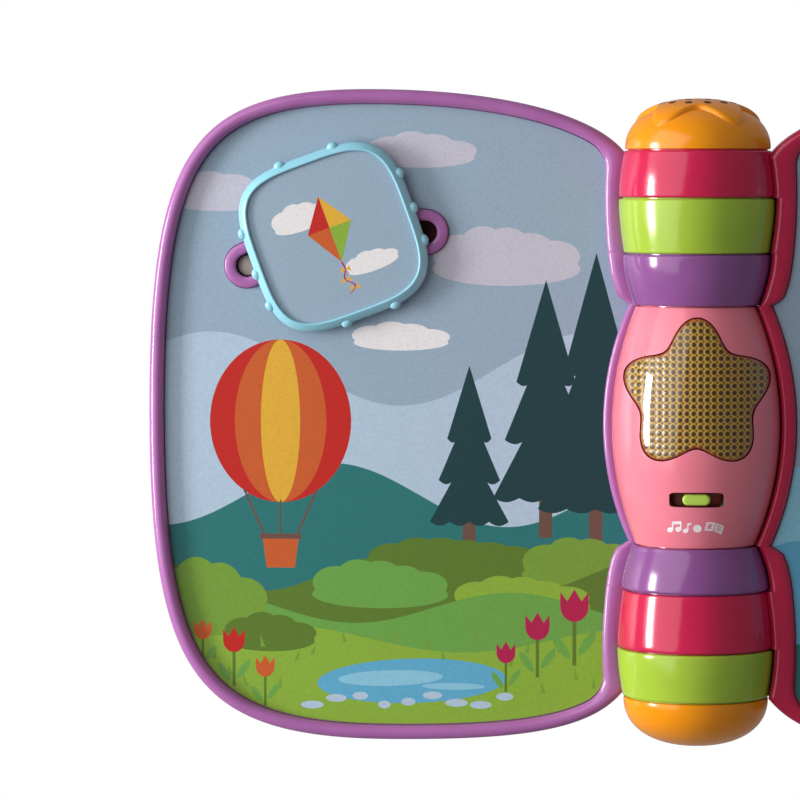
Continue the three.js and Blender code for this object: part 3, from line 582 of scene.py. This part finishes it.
def soften(loop, corner, radius):
    """Rounds one corner of a closed line: the points within radius of it go onto a quadratic
    curve that is pulled towards the corner."""
    place = np.concatenate([[0], np.cumsum(np.linalg.norm(np.diff(loop, axis=0), axis=1))])
    total = place[-1] + np.linalg.norm(loop[0] - loop[-1])
    s = (place - place[corner] + total / 2) % total - total / 2
    order = np.argsort(s)
    a, b = (np.array([np.interp(end, s[order], loop[order, k]) for k in (0, 1)])
            for end in (-radius, radius))
    near = np.abs(s) < radius
    t = ((s[near] + radius) / (2 * radius))[:, None]
    loop[near] = (1 - t) ** 2 * a + 2 * t * (1 - t) * loop[corner] + t ** 2 * b


def board_loop(side, inset, z, joined=()):
    """Closed line round a board at height z, moved inwards by inset. Along the spine it keeps
    0.8 mm off the barrel, measured from the hinge axis; beside the bands named in joined it
    runs into the ring that is moulded with it. The rim's inner line sweeps past the bands in
    one curve and turns into the outline with a soft corner."""
    share = min(inset / rim_width, 1.0)

    def spine_x(y):
        """Distance of the line beside the spine from the hinge axis in plan, at y."""
        gap = np.full_like(y, barrel_gap)
        for end, number in joined:
            sign = 1 if end == "top" else -1
            a, b = seams[end][number], seams[end][number + 1]
            gap = np.where((y * sign > a) & (y * sign < b), joined_gap, gap)
        below = 0.5 * (y < 0)
        size = np.abs(y) + below
        beside = np.interp(size, band_place, band_reach) + below * np.clip((size - 46) / 6, 0, 1)
        inner = np.where(size > centre_top, beside, barrel_radius(y) + middle_reach)
        outer = barrel_radius(y) + gap
        reach = outer + (inner - outer) * share + max(inset - rim_width, 0)
        square = np.maximum(reach ** 2 - (z - axis_height) ** 2, 0)
        return np.maximum(np.sqrt(square), tuck_x + inset)
    line = board_outline + join(-slope[:, 1], slope[:, 0]) * inset
    clear = line[:, 0] - spine_x(line[:, 1])
    inside = np.nonzero(clear > 0)[0]
    first, last = inside[0], inside[-1]

    def crossing(i, j):
        """Place between two points of the line where its clearance is nought."""
        return line[i] + (line[j] - line[i]) * clear[i] / (clear[i] - clear[j])
    start, stop = crossing(first, first - 1), crossing(last, last + 1)
    path = np.concatenate([[start], line[first:last + 1], [stop]])
    length = np.concatenate([[0], np.cumsum(np.linalg.norm(np.diff(path, axis=0), axis=1))])
    place = np.linspace(0, length[-1], 360)
    outer = np.stack([np.interp(place, length, path[:, k]) for k in (0, 1)], -1)
    y = np.concatenate([np.linspace(stop[1], band_end, 12, endpoint=False)[1:],
                        knots[::-1], np.linspace(-band_end, start[1], 12)[1:-1]])
    y = np.clip(y, start[1], stop[1])
    inner = join(spine_x(y), y)
    loop = np.concatenate([outer, inner])
    if share > 0.02:
        for corner in (len(outer) - 1, 0):
            soften(loop, corner, soft_corner * share)
    loop = np.concatenate([loop, np.full((len(loop), 1), z)], axis=1)
    loop[:, 0] *= side
    return loop


def bead(high, low, inner_low):
    """Section of a rim as pairs of inset and height: a groove at the parting line, the outer
    wall up from low, half an ellipse over the top at high, and the inner wall down."""
    t = np.linspace(0, np.pi, 19)
    half = rim_width / 2
    top = join(half - half * np.cos(t), high - 3.1 + 3.1 * np.sin(t) ** 0.8)
    groove = [(0.55, low - 0.05), (0.3, low + 0.06), (0.06, low + 0.2), (0, low + 0.45)]
    return [*groove, *top.tolist(), (rim_width, inner_low)]


def rim(name, side, section, material, joined=()):
    """Skin through the lines round a board at each pair of inset and height of a section."""
    rows = np.stack([board_loop(side, inset, z, joined) for inset, z in section])
    return skin(name, rows, material=material, flip=side < 0, sharp=35)


def fill(name, border, holes, z, materials, shapes=(), up=True):
    """A flat sheet inside a closed line, with holes, cut along the outlines of its shapes. Each
    bit takes the material of the last shape that covers it."""
    rings = [np.asarray(r, float)[:, :2] for r in [border, *holes, *(s for s, _ in shapes)]]
    rings = [r if np.sum(r[:, 0] * np.roll(r[:, 1], -1) - r[:, 1] * np.roll(r[:, 0], -1)) > 0
             else r[::-1] for r in rings]
    flat, faces, keep, picks = [], [], [], []
    for ring in rings:
        faces.append(list(range(len(flat), len(flat) + len(ring))))
        flat.extend(Vector(point) for point in ring.tolist())
    verts, _, tris, _, _, owners = delaunay_2d_cdt(flat, [], faces, 1, 1e-4)
    for tri, owner in zip(tris, owners):
        if 0 in owner and not any(0 < o <= len(holes) for o in owner):
            top = max(owner)
            keep.append(tri if up else tri[::-1])
            picks.append(ink_names.index(shapes[top - 1 - len(holes)][1])
                         if top > len(holes) else 0)
    mesh = bpy.data.meshes.new(name)
    mesh.from_pydata([(v.x * mm, v.y * mm, z * mm) for v in verts], [], keep)
    for material in materials:
        mesh.materials.append(material)
    mesh.polygons.foreach_set("material_index", picks)
    loose = bmesh.new()
    loose.from_mesh(mesh)
    bmesh.ops.delete(loose, geom=[v for v in loose.verts if not v.link_faces], context="VERTS")
    loose.to_mesh(mesh)
    loose.free()
    return finish(name, mesh, None)


cover_joined = (("top", 0), ("bottom", 0))
cover_rim = rim("cover_rim", -1, bead(board_top, parting, floor_top), purple_abs, cover_joined)
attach(cover_rim, "cover")
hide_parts("cover_front_shell")

# Curved slot of the sliding picture: a collar of the same moulding stands 2 mm above the page
# round it, with soft edges. Below it lies a dark red strip: red card darkened as painted shade.
slot_centre, slot_radius, slot_middle = (-113.0, -60.7), 133.0, 10.6
slot_half_angle, slot_half, collar_width = 15.1, 4.3, 4.2


def ray(angle, radius):
    """Point at a radius in the direction of an angle."""
    return join(radius * np.cos(angle), radius * np.sin(angle))


def arc_loop(half, z):
    """Closed line round an arc-shaped bar with round ends, at height z."""
    middle = np.pi / 2 + np.radians(slot_middle)
    a, b = middle - np.radians(slot_half_angle), middle + np.radians(slot_half_angle)
    run = np.linspace(a, b, 70)
    cap = np.linspace(0, np.pi, 22)[1:-1]
    loop = slot_centre + np.concatenate([
        ray(run, slot_radius + half), ray(b, slot_radius) + ray(b + cap, half),
        ray(run[::-1], slot_radius - half), ray(a, slot_radius) + ray(a + np.pi + cap, half)])
    return np.concatenate([loop, np.full((len(loop), 1), z)], axis=1)


t = np.linspace(0, np.pi, 15)
collar_section = [(slot_half + collar_width, floor_top)] + [
    (slot_half + collar_width / 2 * (1 + np.cos(v)), page_level + 1.0 + 1.0 * np.sin(v) ** 0.7)
    for v in t] + [(slot_half, 13.5)]
collar = skin("slot_collar", np.stack([arc_loop(h, z) for h, z in collar_section]),
              material=purple_abs, sharp=40)
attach(collar, "cover")


def satin_card(name, light, dark, roughness=0.35):
    """Printed card under a clear film: even ink with a faint fibre mottle about 1 mm across."""
    material, tree, shader, place = start_material(name, {"Roughness": roughness, "IOR": 1.45})
    tone = mottle(tree, place, 0.0011, 3.0, (0.3, dark), (0.7, light))
    tree.links.new(tone, shader.inputs["Base Color"])
    tree.links.new(waviness(tree, place, 0.02, 0.06, 0.001), shader.inputs["Normal"])
    return material


def dress(node, material):
    """Gives a CAD node one material."""
    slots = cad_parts[node].data.materials
    slots.clear()
    slots.append(material)


def upright(profile, x, y, steps=32):
    """Rows of a body of revolution about a vertical line, from pairs of radius and height."""
    profile = np.asarray(profile, float)
    angle = full_turn(steps)
    return join(x + profile[:, :1] * np.cos(angle), y + profile[:, :1] * np.sin(angle),
                np.repeat(profile[:, 1:], steps, 1))


# Dark red card under the slot: red print darkened as painted shade.
dress("slot_backing", satin_card("dark_red_card_with_painted_shade", "5a0c12", "480a0f", 0.6))
cream_plastic = moulded_abs("cream_moulded_abs", "f6ead8", "eddfc9", 0.3)
stop_angle = np.pi / 2 + np.radians(slot_middle + slot_half_angle)
stop_place = slot_centre + ray(stop_angle, slot_radius)
t = np.linspace(0, np.pi / 2, 12)
stop_profile = join(3.9 * np.sin(t), 12.3 + 0.6 * np.cos(t))
stop_disc = skin("slot_stop_disc", upright(stop_profile, *stop_place, 48),
                 material=cream_plastic)
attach(stop_disc, "cover")

# The printed page: a laminated card with a plain country scene, sky, clouds, hills, firs, a
# pond, flowers and a striped balloon. It lies in the recess with a fine dark gap to the rim.
inks = {"sky": "9cb2c5", "haze": "b7cde0", "cloud": "cbc8d6", "deep": "1d4144", "teal": "2c7876",
        "bark": "6f5245", "moss": "5f7f2c", "leaf": "6fa84a", "lime": "8fb53c", "grass": "7aa23a",
        "water": "62b0d2", "light_water": "8fcbe2", "red": "c8261f", "rust": "d0602c",
        "white": "f0ecec", "rose": "b51f50", "blush": "e9a3a6", "gold": "e8b23a"}
ink_names = list(inks)


def ink_dark(code):
    """Hex value of a colour that is 5 % darker."""
    return "".join(f"{int(int(code[i:i + 2], 16) * 0.95):02x}" for i in (0, 2, 4))


ink_materials = [satin_card(f"{name}_ink_on_card", code, ink_dark(code))
                 for name, code in inks.items()]


def crown(x, y, radius):
    """Tree crown: an ellipse whose radius swells and shrinks seven times round."""
    t = full_turn(72)
    r = 1 + 0.06 * np.cos(7 * t)
    return join(x + radius * r * np.cos(t), y + radius * 0.9 * r * np.sin(t))


def puffs(x, y, width, height, count, colour):
    """Cloud or bush: a row of ovals on one another, highest in the middle."""
    shapes = []
    for k in range(count):
        share = (k + 0.5) / count * 2 - 1
        size = height * (1.0 - 0.45 * share ** 2) * (0.9 + 0.1 * np.cos(5.3 * k))
        shapes.append((oval(x + share * width * 0.8, y + size * 0.45, width / count * 1.75,
                            size * 0.62, 0, 44), colour))
    return shapes + [(oval(x, y, width, height * 0.38, 0, 60), colour)]


def ground(level, swing, wave, phase, left=-215.0, right=-15.0, low=-140.0):
    """Land up to a wavy line: a cosine of the distance across the page."""
    x = np.linspace(left, right, 90)
    y = level + swing * np.cos((x + phase) / wave)
    return np.concatenate([join(x, y), [[right, low], [left, low]]])


def fir(x, y, height, width):
    """Fir tree: three stacked tiers, each a triangle with a gently scalloped foot."""
    tiers = []
    for k in range(3):
        foot = y + height * (0.12 + 0.24 * k)
        half = width / 2 * (1 - 0.22 * k)
        t = np.linspace(-1, 1, 25)
        base = join(x + half * t, foot - 1.6 * np.abs(np.sin(t * np.pi * 2)))
        tiers.append(np.concatenate([base, [[x, foot + height * 0.42]]]))
    return tiers


def tulip(x, y, size, colour):
    """Tulip: a half-round cup with three points, a straight stalk and two slanting leaves."""
    t = np.linspace(0, np.pi, 16)
    cup = join(x + size * np.cos(t + np.pi), y + size * 1.1 * np.sin(t + np.pi))
    crown = np.array([[x + size, y + size], [x + size / 2, y + size * 0.35], [x, y + size * 1.2],
                      [x - size / 2, y + size * 0.35], [x - size, y + size]])
    return [(bar(x, y - size, x, y - size * 4.2, size * 0.28), "moss"),
            (oval(x - size * 0.9, y - size * 2.9, size, size * 0.32, 125, 16), "leaf"),
            (oval(x + size * 0.9, y - size * 2.6, size, size * 0.32, 55, 16), "leaf"),
            (np.concatenate([cup, crown]), colour)]


scene = [(ground(20, 14, 23, 40), "haze")]
scene += puffs(-181, 84, 22, 11, 4, "cloud") + puffs(-72, 58, 28, 17, 5, "cloud")
scene += puffs(-104, 100, 20, 10, 4, "cloud") + puffs(-112, 30, 18, 8, 4, "white")
scene += [(ground(-28, 12, 21, 6), "teal")]
for x, y, height, width in ((-57, -40, 92, 40), (-38, -46, 108, 44), (-86, -46, 66, 30)):
    scene += [(bar(x, y - 4, x, y + height * 0.3, 5), "bark")]
    scene += [(tier, "deep") for tier in fir(x, y, height, width)]
scene += puffs(-92, -56, 34, 13, 6, "moss") + puffs(-40, -58, 26, 15, 5, "grass")
scene += [(ground(-58, 7, 16, 15), "moss")]
scene += puffs(-120, -66, 26, 14, 5, "leaf") + puffs(-66, -70, 26, 12, 5, "lime")
scene += [(ground(-71, 6, 19, 70), "leaf"), (ground(-83, 5, 22, 20), "lime")]
scene += puffs(-186, -74, 22, 22, 4, "grass") + puffs(-162, -84, 17, 11, 4, "moss")
for k in range(26):
    gx, gy = -190 + 6.3 * k, -92 - 9 * np.cos(k * 2.4) - 0.001 * (k * 6.3 - 82) ** 2
    blade = np.array([[gx - 0.9, gy], [gx + 0.9, gy], [gx + 1.6 * np.cos(k), gy + 4.6]])
    scene += [(blade, "grass")]
scene += [(oval(-108, -99, 36, 8.5, 2, 60), "water"),
          (oval(-116, -98, 20, 3.0, 2, 40), "light_water"),
          (oval(-92, -101, 12, 1.3, 0, 30), "light_water")]
for k in range(9):
    px, py = -146 + 9.2 * k, -106.5 - 2.0 * np.cos(k * 1.9)
    scene += [(oval(px, py, 3.4 + np.cos(k), 1.5, 0, 24), "haze")]
balloon_x, basket = -158.0, np.array([[-7, -44], [7, -44], [5.4, -56], [-5.4, -56]])
for width, steps, colour in ((27, 80, "red"), (17.5, 70, "rust"), (7.5, 60, "gold")):
    scene += [(oval(balloon_x, 0, width, 31, 0, steps), colour)]
for x0, y0, x1, y1, width in ((-14, -26, -6, -44, 0.8), (14, -26, 6, -44, 0.8),
                              (0, -30, 0, -44, 0.6)):
    scene += [(bar(balloon_x + x0, y0, balloon_x + x1, y1, width), "bark")]
scene += [(basket + [balloon_x, 0], "rust"),
          (bar(balloon_x - 8, -44, balloon_x + 8, -44, 2), "bark")]
for x, y, size, colour in (
        (-60, -78, 4.6, "rose"), (-46, -70, 5.4, "rose"), (-72, -88, 3.6, "rose"),
        (-176, -84, 4.2, "red"), (-164, -94, 3.6, "rust"), (-188, -80, 3.4, "rust")):
    scene += tulip(x, y, size, colour)
page_edge = board_loop(-1, rim_width + 0.4, page_level)
page = fill("cover_page_print", page_edge, [arc_loop(slot_half + collar_width + 0.35, 0)],
            page_level, ink_materials, scene)
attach(page, "cover")
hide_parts("cover_print")
floor_gap = fill("cover_recess_floor", board_loop(-1, rim_width, floor_top),
                 [arc_loop(slot_half + 0.5, 0)], floor_top, [purple_abs])
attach(floor_gap, "cover")

# Picture slider: a pale cyan ABS bezel with a soft ridge inside and grip bumps on its edge. Its
# card shows a kite in the sky. A stem runs in the slot and a retainer holds it from behind.
pin_angle = np.pi / 2 + np.radians(slot_middle)
pin = slot_centre + ray(pin_angle, slot_radius)
picture_turn, picture_middle, picture_low, picture_high = 20.0, 32.7, 18.1, 22.1
cyan_abs = moulded_abs("cyan_moulded_abs", "9ad4e6", "8dcddf", 0.2)


def on_picture(shape):
    """A shape drawn square, turned and moved with the picture."""
    c, s = np.cos(np.radians(picture_turn)), np.sin(np.radians(picture_turn))
    x, y = shape[:, 0], shape[:, 1]
    return join(pin[0] + x * c - y * s, pin[1] + x * s + y * c)


def bulged_square(inset, z, steps=360, power=3.55):
    """Squircle: the superellipse of power 3.55 whose sides lie 32.7 mm from its middle, moved
    inwards along its normals by inset, turned and put on the pin."""
    t = full_turn(steps)

    def signed_power(v, exponent):
        """Power of the size of v, with the sign of v."""
        return np.sign(v) * np.abs(v) ** exponent
    x, y = (picture_middle * signed_power(v, 2 / power) for v in (np.cos(t), np.sin(t)))
    nx, ny = signed_power(x, power - 1), signed_power(y, power - 1)
    size = np.hypot(nx, ny)
    square = join(x - inset * nx / size, y - inset * ny / size)
    return np.column_stack([on_picture(square), np.full(steps, z)])


bezel_section = [(inset, picture_low + rise) for inset, rise in (
    (3.0, 0), (0.8, 0), (0.15, 0.35), (0, 0.9), (0.05, 1.5), (0.35, 2.1), (0.9, 2.7), (1.6, 3.25),
    (2.1, 3.6), (2.45, 3.88), (2.75, 4.0), (3.05, 3.94), (3.3, 3.7), (3.4, 3.3), (3.4, 2.6))]
bezel = skin("picture_bezel_ring", np.stack([bulged_square(d, z) for d, z in bezel_section]),
             material=cyan_abs, sharp=45)
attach(bezel, "picture")
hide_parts("picture_bezel")
back = fill("picture_bezel_back", bulged_square(3.0, picture_low), [], picture_low, [cyan_abs],
            up=False)
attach(back, "picture")
grip_at = (71, 107, 158.5, 183, 207, 259.5, 293, 338, 1, 23.6)
edge_line = bulged_square(0.5, 0)[:, :2]
outline_angle = np.arctan2(*(bulged_square(0, 0)[:, :2] - pin).T[::-1])
a = np.linspace(-np.pi / 2, np.pi / 2, 15)[:, None]
b = full_turn(32)[None]
u, v, w = 2.3 * np.cos(a) * np.cos(b), 1.9 * np.cos(a) * np.sin(b), 1.55 * np.sin(a) + 0 * b
for number, degrees in enumerate(grip_at):
    direction = np.radians(degrees + picture_turn)
    near = np.argmin(np.abs(np.angle(np.exp(1j * (outline_angle - direction)))))
    x, y = edge_line[near]
    ax, ay = edge_line[(near + 1) % 360] - edge_line[near - 1]
    ax, ay = ax / np.hypot(ax, ay), ay / np.hypot(ax, ay)
    ball = join(x + u * ax + v * ay, y + u * ay - v * ax, picture_low + 1.6 + w)
    grip = skin(f"picture_grip_{number + 1}", ball, material=cyan_abs, sharp=80, flip=True)
    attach(grip, "picture")

kite_size = 1.25
run = np.linspace(0, 10, 40)
sway = 1.8 * np.sin(run) * run / 10
kite = [(np.array(corners), colour) for corners, colour in (
    ([[0, 13], [-7, 3], [0, 3]], "red"), ([[0, 13], [0, 3], [7, 3]], "gold"),
    ([[-7, 3], [0, -8], [0, 3]], "rust"), ([[7, 3], [0, 3], [0, -8]], "lime"))]
tail = [join(sway + width, -8 - run) for width in (0.25, -0.25)]
kite += [(np.concatenate([tail[0], tail[1][::-1]]), "rose")]
for bow_y in (-10.5, -13.5, -16.5):
    bow_x = 1.8 * np.sin(-8 - bow_y) * (-8 - bow_y) / 10
    bow = np.array([[-1.5, -0.9], [0, 0], [-1.5, 0.9]])
    kite += [(bow * [side, 1] + [bow_x, bow_y], "gold") for side in (1, -1)]
picture_shapes = puffs(-9, 9, 11, 8, 4, "white") + puffs(11, -15, 10, 6, 4, "white")
picture_shapes += [(kite_size * shape, colour) for shape, colour in kite]
picture_shapes = [(on_picture(shape), colour) for shape, colour in picture_shapes]
card = fill("picture_card_print", bulged_square(3.45, 0), [], picture_high - 1.2,
            ink_materials, picture_shapes)
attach(card, "picture")
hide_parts("picture_card")
white_abs = moulded_abs("natural_white_abs", "ece8df", "e3ded4", 0.35)
for node in ("picture_retainer", "hinge_tube_top", "hinge_tube_bottom"):
    dress(node, white_abs)

# Page leaves: each one moulding of ABS, a bead round both faces and a thin web between, with a
# printed card glued into each face.
leaf_low = {"leaf_b": 20.4, "leaf_a": 30.6}
leaf_thick, leaf_recess, web_recess = 9.8, 3.5, 4.1
leaf_joined = {"leaf_a": (("top", 2), ("bottom", 1)), "leaf_b": (("top", 1), ("bottom", 2))}
leaf_material = {"leaf_a": (red_abs, "red_shell"), "leaf_b": (lime_abs, "green_shell")}
t = np.linspace(0, np.pi, 15)


def sea_page():
    """Sea scene: bands of water, a sailing boat and a low sun."""
    shapes = puffs(90, 84, 24, 13, 5, "white") + puffs(60, 56, 17, 9, 4, "cloud")
    shapes += [(oval(160, 74, 17, 17, 0, 60), "gold"),
               (ground(-18, 3, 6.5, 3, 15, 215), "light_water"),
               (ground(-46, 3.4, 7.5, 9, 15, 215), "water"),
               (ground(-80, 3.8, 9, 1, 15, 215), "teal")]
    shapes += [(np.array([[116, 44], [116, -10], [150, -10]]), "white"),
               (np.array([[112, 36], [112, -10], [90, -10]]), "red"),
               (bar(114, 50, 114, -20, 2), "bark"),
               (np.array([[84, -18], [152, -18], [138, -36], [98, -36]]), "rust")]
    return shapes


def orchard_page():
    """Orchard scene: round trees with red fruit on rolling ground."""
    shapes = puffs(84, 78, 26, 14, 5, "cloud") + puffs(158, 90, 22, 11, 4, "white")
    shapes += [(ground(-30, 9, 21, 4, 15, 215), "teal"),
               (ground(-52, 7, 17, 30, 15, 215), "leaf")]
    for x, y, r in ((66, 10, 24), (120, 26, 28), (172, 6, 23)):
        shapes += [(bar(x, y, x, y - r * 2.2, 6), "bark"), (crown(x, y, r), "moss")]
        shapes += [(oval(x + r * 0.55 * np.cos(a), y + r * 0.5 * np.sin(a), 3, 3, 0, 20), "red")
                   for a in np.arange(5) * 1.256]
    shapes += [(ground(-84, 5, 13, 8, 15, 215), "lime")]
    return shapes


pages = {("leaf_a", True): sea_page, ("leaf_a", False): orchard_page,
         ("leaf_b", True): orchard_page, ("leaf_b", False): sea_page}
for leaf, low in leaf_low.items():
    high = low + leaf_thick
    edge, spread = 2.6, rim_width / 2
    upper_half = [(spread - spread * np.cos(v), high - edge + edge * np.sin(v) ** 0.8) for v in t]
    lower_half = [(spread + spread * np.cos(v), low + edge - edge * np.sin(v) ** 0.8) for v in t]
    section = [(rim_width, low + web_recess), *lower_half, *upper_half,
               (rim_width, high - web_recess)]
    material, slot = leaf_material[leaf]
    frame_piece = rim(f"{leaf}_rim", 1, section, material, leaf_joined[leaf])
    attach(frame_piece, leaf)
    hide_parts(f"{leaf}_frame")
    for front, z, web in ((True, high - leaf_recess, high - web_recess),
                          (False, low + leaf_recess, low + web_recess)):
        side_name = "front" if front else "back"
        sheet = fill(f"{leaf}_{side_name}_page", board_loop(1, rim_width + 0.4, z), [], z,
                     ink_materials, pages[(leaf, front)](), up=front)
        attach(sheet, leaf)
        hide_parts(f"{leaf}_{side_name}_print")
        web_face = fill(f"{leaf}_{side_name}_web", board_loop(1, rim_width, web), [], web,
                        [material], up=front)
        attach(web_face, leaf)

# Base: the same tray as the cover, fixed to the spine, with its own page. Both trays have a
# lower shell with counterbored screws; the base also has the battery door.
base_rim = rim("base_rim", 1, bead(board_top, parting, floor_top), purple_abs)
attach(base_rim, "base")
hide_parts("base_front_shell")
base_page = fill("base_page_print", board_loop(1, rim_width + 0.4, page_level), [], page_level,
                 ink_materials, orchard_page())
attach(base_page, "base")
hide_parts("base_print")
base_floor = fill("base_recess_floor", board_loop(1, rim_width, floor_top), [], floor_top,
                  [purple_abs])
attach(base_floor, "base")
screw_places = [(192.0, page_top / 2), (192.0, -page_bottom / 2),
                (crown_top - page_reach / 5, page_top - 16),
                (crown_bottom - page_reach / 5, -page_bottom + 16)]
steel, tree, shader, place = start_material("zinc_plated_screw", {
    "Base Color": linear("b9bcc0"), "Metallic": 1.0})
rough = add_node(tree, "ShaderNodeMapRange", {"To Min": 0.25, "To Max": 0.5},
                 {"Value": noise(tree, place, 0.0008, 4.0)})
tree.links.new(rough.outputs["Result"], shader.inputs["Roughness"])
well_radius, well_depth = 3.2, 4.5
well = [(well_radius, 0.0), (well_radius, well_depth), (0.0, well_depth)]
head = [(0.5, 4.4), (0.5, 3.4), (0.6, 3.0), (1.6, 2.75), (2.6, 3.2), (2.9, 3.9), (2.9, 4.4)]
back_section = [(4.0, 0.0)] + [(2.4 - 2.4 * np.sin(v), 2.4 - 2.4 * np.cos(v))
                               for v in np.linspace(0, np.pi / 2, 9)]
back_section += [(0, parting - 0.5), (0.06, parting - 0.3), (0.3, parting - 0.12),
                 (0.55, parting - 0.05)]
bay = (150.0, -30.0, 18.3, 26.65)
for body, side in (("cover", -1), ("base", 1)):
    tray = rim(f"{body}_back_tray", side, back_section, purple_abs)
    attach(tray, body)
    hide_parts(f"{body}_back_shell")
    holes = [oval(side * x, y, well_radius, well_radius, 0, 32) for x, y in screw_places]
    if body == "base":
        x, y, hx, hy = bay
        holes.append(bar(x - hx, y, x + hx, y, 2 * hy))
    under = fill(f"{body}_back_floor", board_loop(side, 4.0, 0.0), holes, 0.0, [purple_abs],
                 up=False)
    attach(under, body)
    for number, (x, y) in enumerate(screw_places):
        cup = skin(f"{body}_screw_well_{number + 1}", upright(well, side * x, y),
                   material=purple_abs)
        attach(cup, body)
        screw = skin(f"{body}_screw_{number + 1}", upright(head, side * x, y), material=steel)
        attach(screw, body)

# Battery door, cells, contacts, boards and speaker: the CAD solids, in their own finishes.
for material, nodes in (
        (purple_abs, ("battery_door",)),
        (moulded_abs("green_cell_sleeve", "3f9a5e", "35894f", 0.3), ("cell_1", "cell_2", "cell_3")),
        (steel, ("contact_top", "contact_bottom")),
        (moulded_abs("green_solder_mask", "2f7d4f", "276d43", 0.35), ("main_board", "light_board")),
        (moulded_abs("black_lacquered_steel", "2a2a2d", "1f1f22", 0.4), ("speaker",))):
    for node in nodes:
        dress(node, material)

# Studio: a floor of white paper that the camera sees as white from above and not at all from
# below, and reflections as grey; a low narrow soft box that makes the crisp streaks on the bands,
# a large one above it, both on the left, and an even pale sky.
floor = bpy.data.objects.new("studio_floor", bpy.data.meshes.new("studio_floor"))
floor.data.from_pydata([(x, y, -0.0005) for x, y in ((-3, -3), (3, -3), (3, 3), (-3, 3))], [],
                       [(0, 1, 2, 3)])
bpy.context.scene.collection.objects.link(floor)
paper_floor, tree, shader, _ = start_material("white_seamless_paper", {
    "Base Color": linear("d8d8d8"), "Roughness": 0.9})
path = add_node(tree, "ShaderNodeLightPath")
seen = add_node(tree, "ShaderNodeMath", None, {0: path.outputs["Is Camera Ray"],
                1: path.outputs["Is Glossy Ray"]}, operation="MAXIMUM")
level = add_node(tree, "ShaderNodeMath", {1: 0.7, 2: 0.3}, {0: path.outputs["Is Camera Ray"]},
                 operation="MULTIPLY_ADD")
white = add_node(tree, "ShaderNodeEmission", {"Color": (1, 1, 1, 1)},
                 {"Strength": level.outputs[0]})
blend = add_node(tree, "ShaderNodeMixShader", None, {0: seen.outputs[0],
                 1: shader.outputs["BSDF"], 2: white.outputs["Emission"]})
under_side = add_node(tree, "ShaderNodeNewGeometry")
clear = add_node(tree, "ShaderNodeBsdfTransparent")
one_way = add_node(tree, "ShaderNodeMixShader", None, {0: under_side.outputs["Backfacing"],
                   1: blend.outputs["Shader"], 2: clear.outputs["BSDF"]})
tree.links.new(one_way.outputs["Shader"], tree.nodes["Material Output"].inputs["Surface"])
floor.data.materials.append(paper_floor)


def soft_light(name, place, target, size, power):
    """A rectangular soft box aimed at a point."""
    lamp = bpy.data.lights.new(name, "AREA")
    lamp.shape, lamp.energy = "RECTANGLE", power
    lamp.size, lamp.size_y = size
    holder = bpy.data.objects.new(name, lamp)
    holder.location = place
    holder.rotation_euler = (Vector(target) - Vector(place)).to_track_quat("-Z", "Y").to_euler()
    bpy.context.scene.collection.objects.link(holder)


soft_light("left_soft_box", (-1.3, 0.06, 0.46), (-0.05, 0, 0.02), (0.55, 0.26), 15)
soft_light("left_high_box", (-1.25, 0.45, 1.0), (-0.1, 0, 0), (2.0, 1.9), 21)
world = bpy.data.worlds.new("studio")
bpy.context.scene.world = world
world.use_nodes = True
sky = world.node_tree.nodes["Background"].inputs
sky["Color"].default_value, sky["Strength"].default_value = linear("f2f4f7"), 0.23

# Camera: straight above the spine, a little towards the top of the book, aimed at the middle of
# the photograph's frame.
lens_data = bpy.data.cameras.new("camera")
camera = bpy.data.objects.new("camera", lens_data)
bpy.context.scene.collection.objects.link(camera)
camera.location = (0.0, 0.095, 1.534)
target = Vector((-0.1113, 0.0090, 0.0304))
look = target - camera.location
across = look.cross(Vector((0, 1, 0))).normalized()
upward = across.cross(look).normalized()
camera.rotation_euler = Matrix((across, upward, -look.normalized())).transposed().to_euler()
sensor, frame_pixels, pixel = 36, 800, 0.376 * mm
lens_data.lens = sensor * look.length / (frame_pixels * pixel)
lens_data.sensor_width = sensor
lens_data.clip_end = 20
bpy.context.scene.camera = camera
bpy.context.scene.view_settings.view_transform = "Standard"
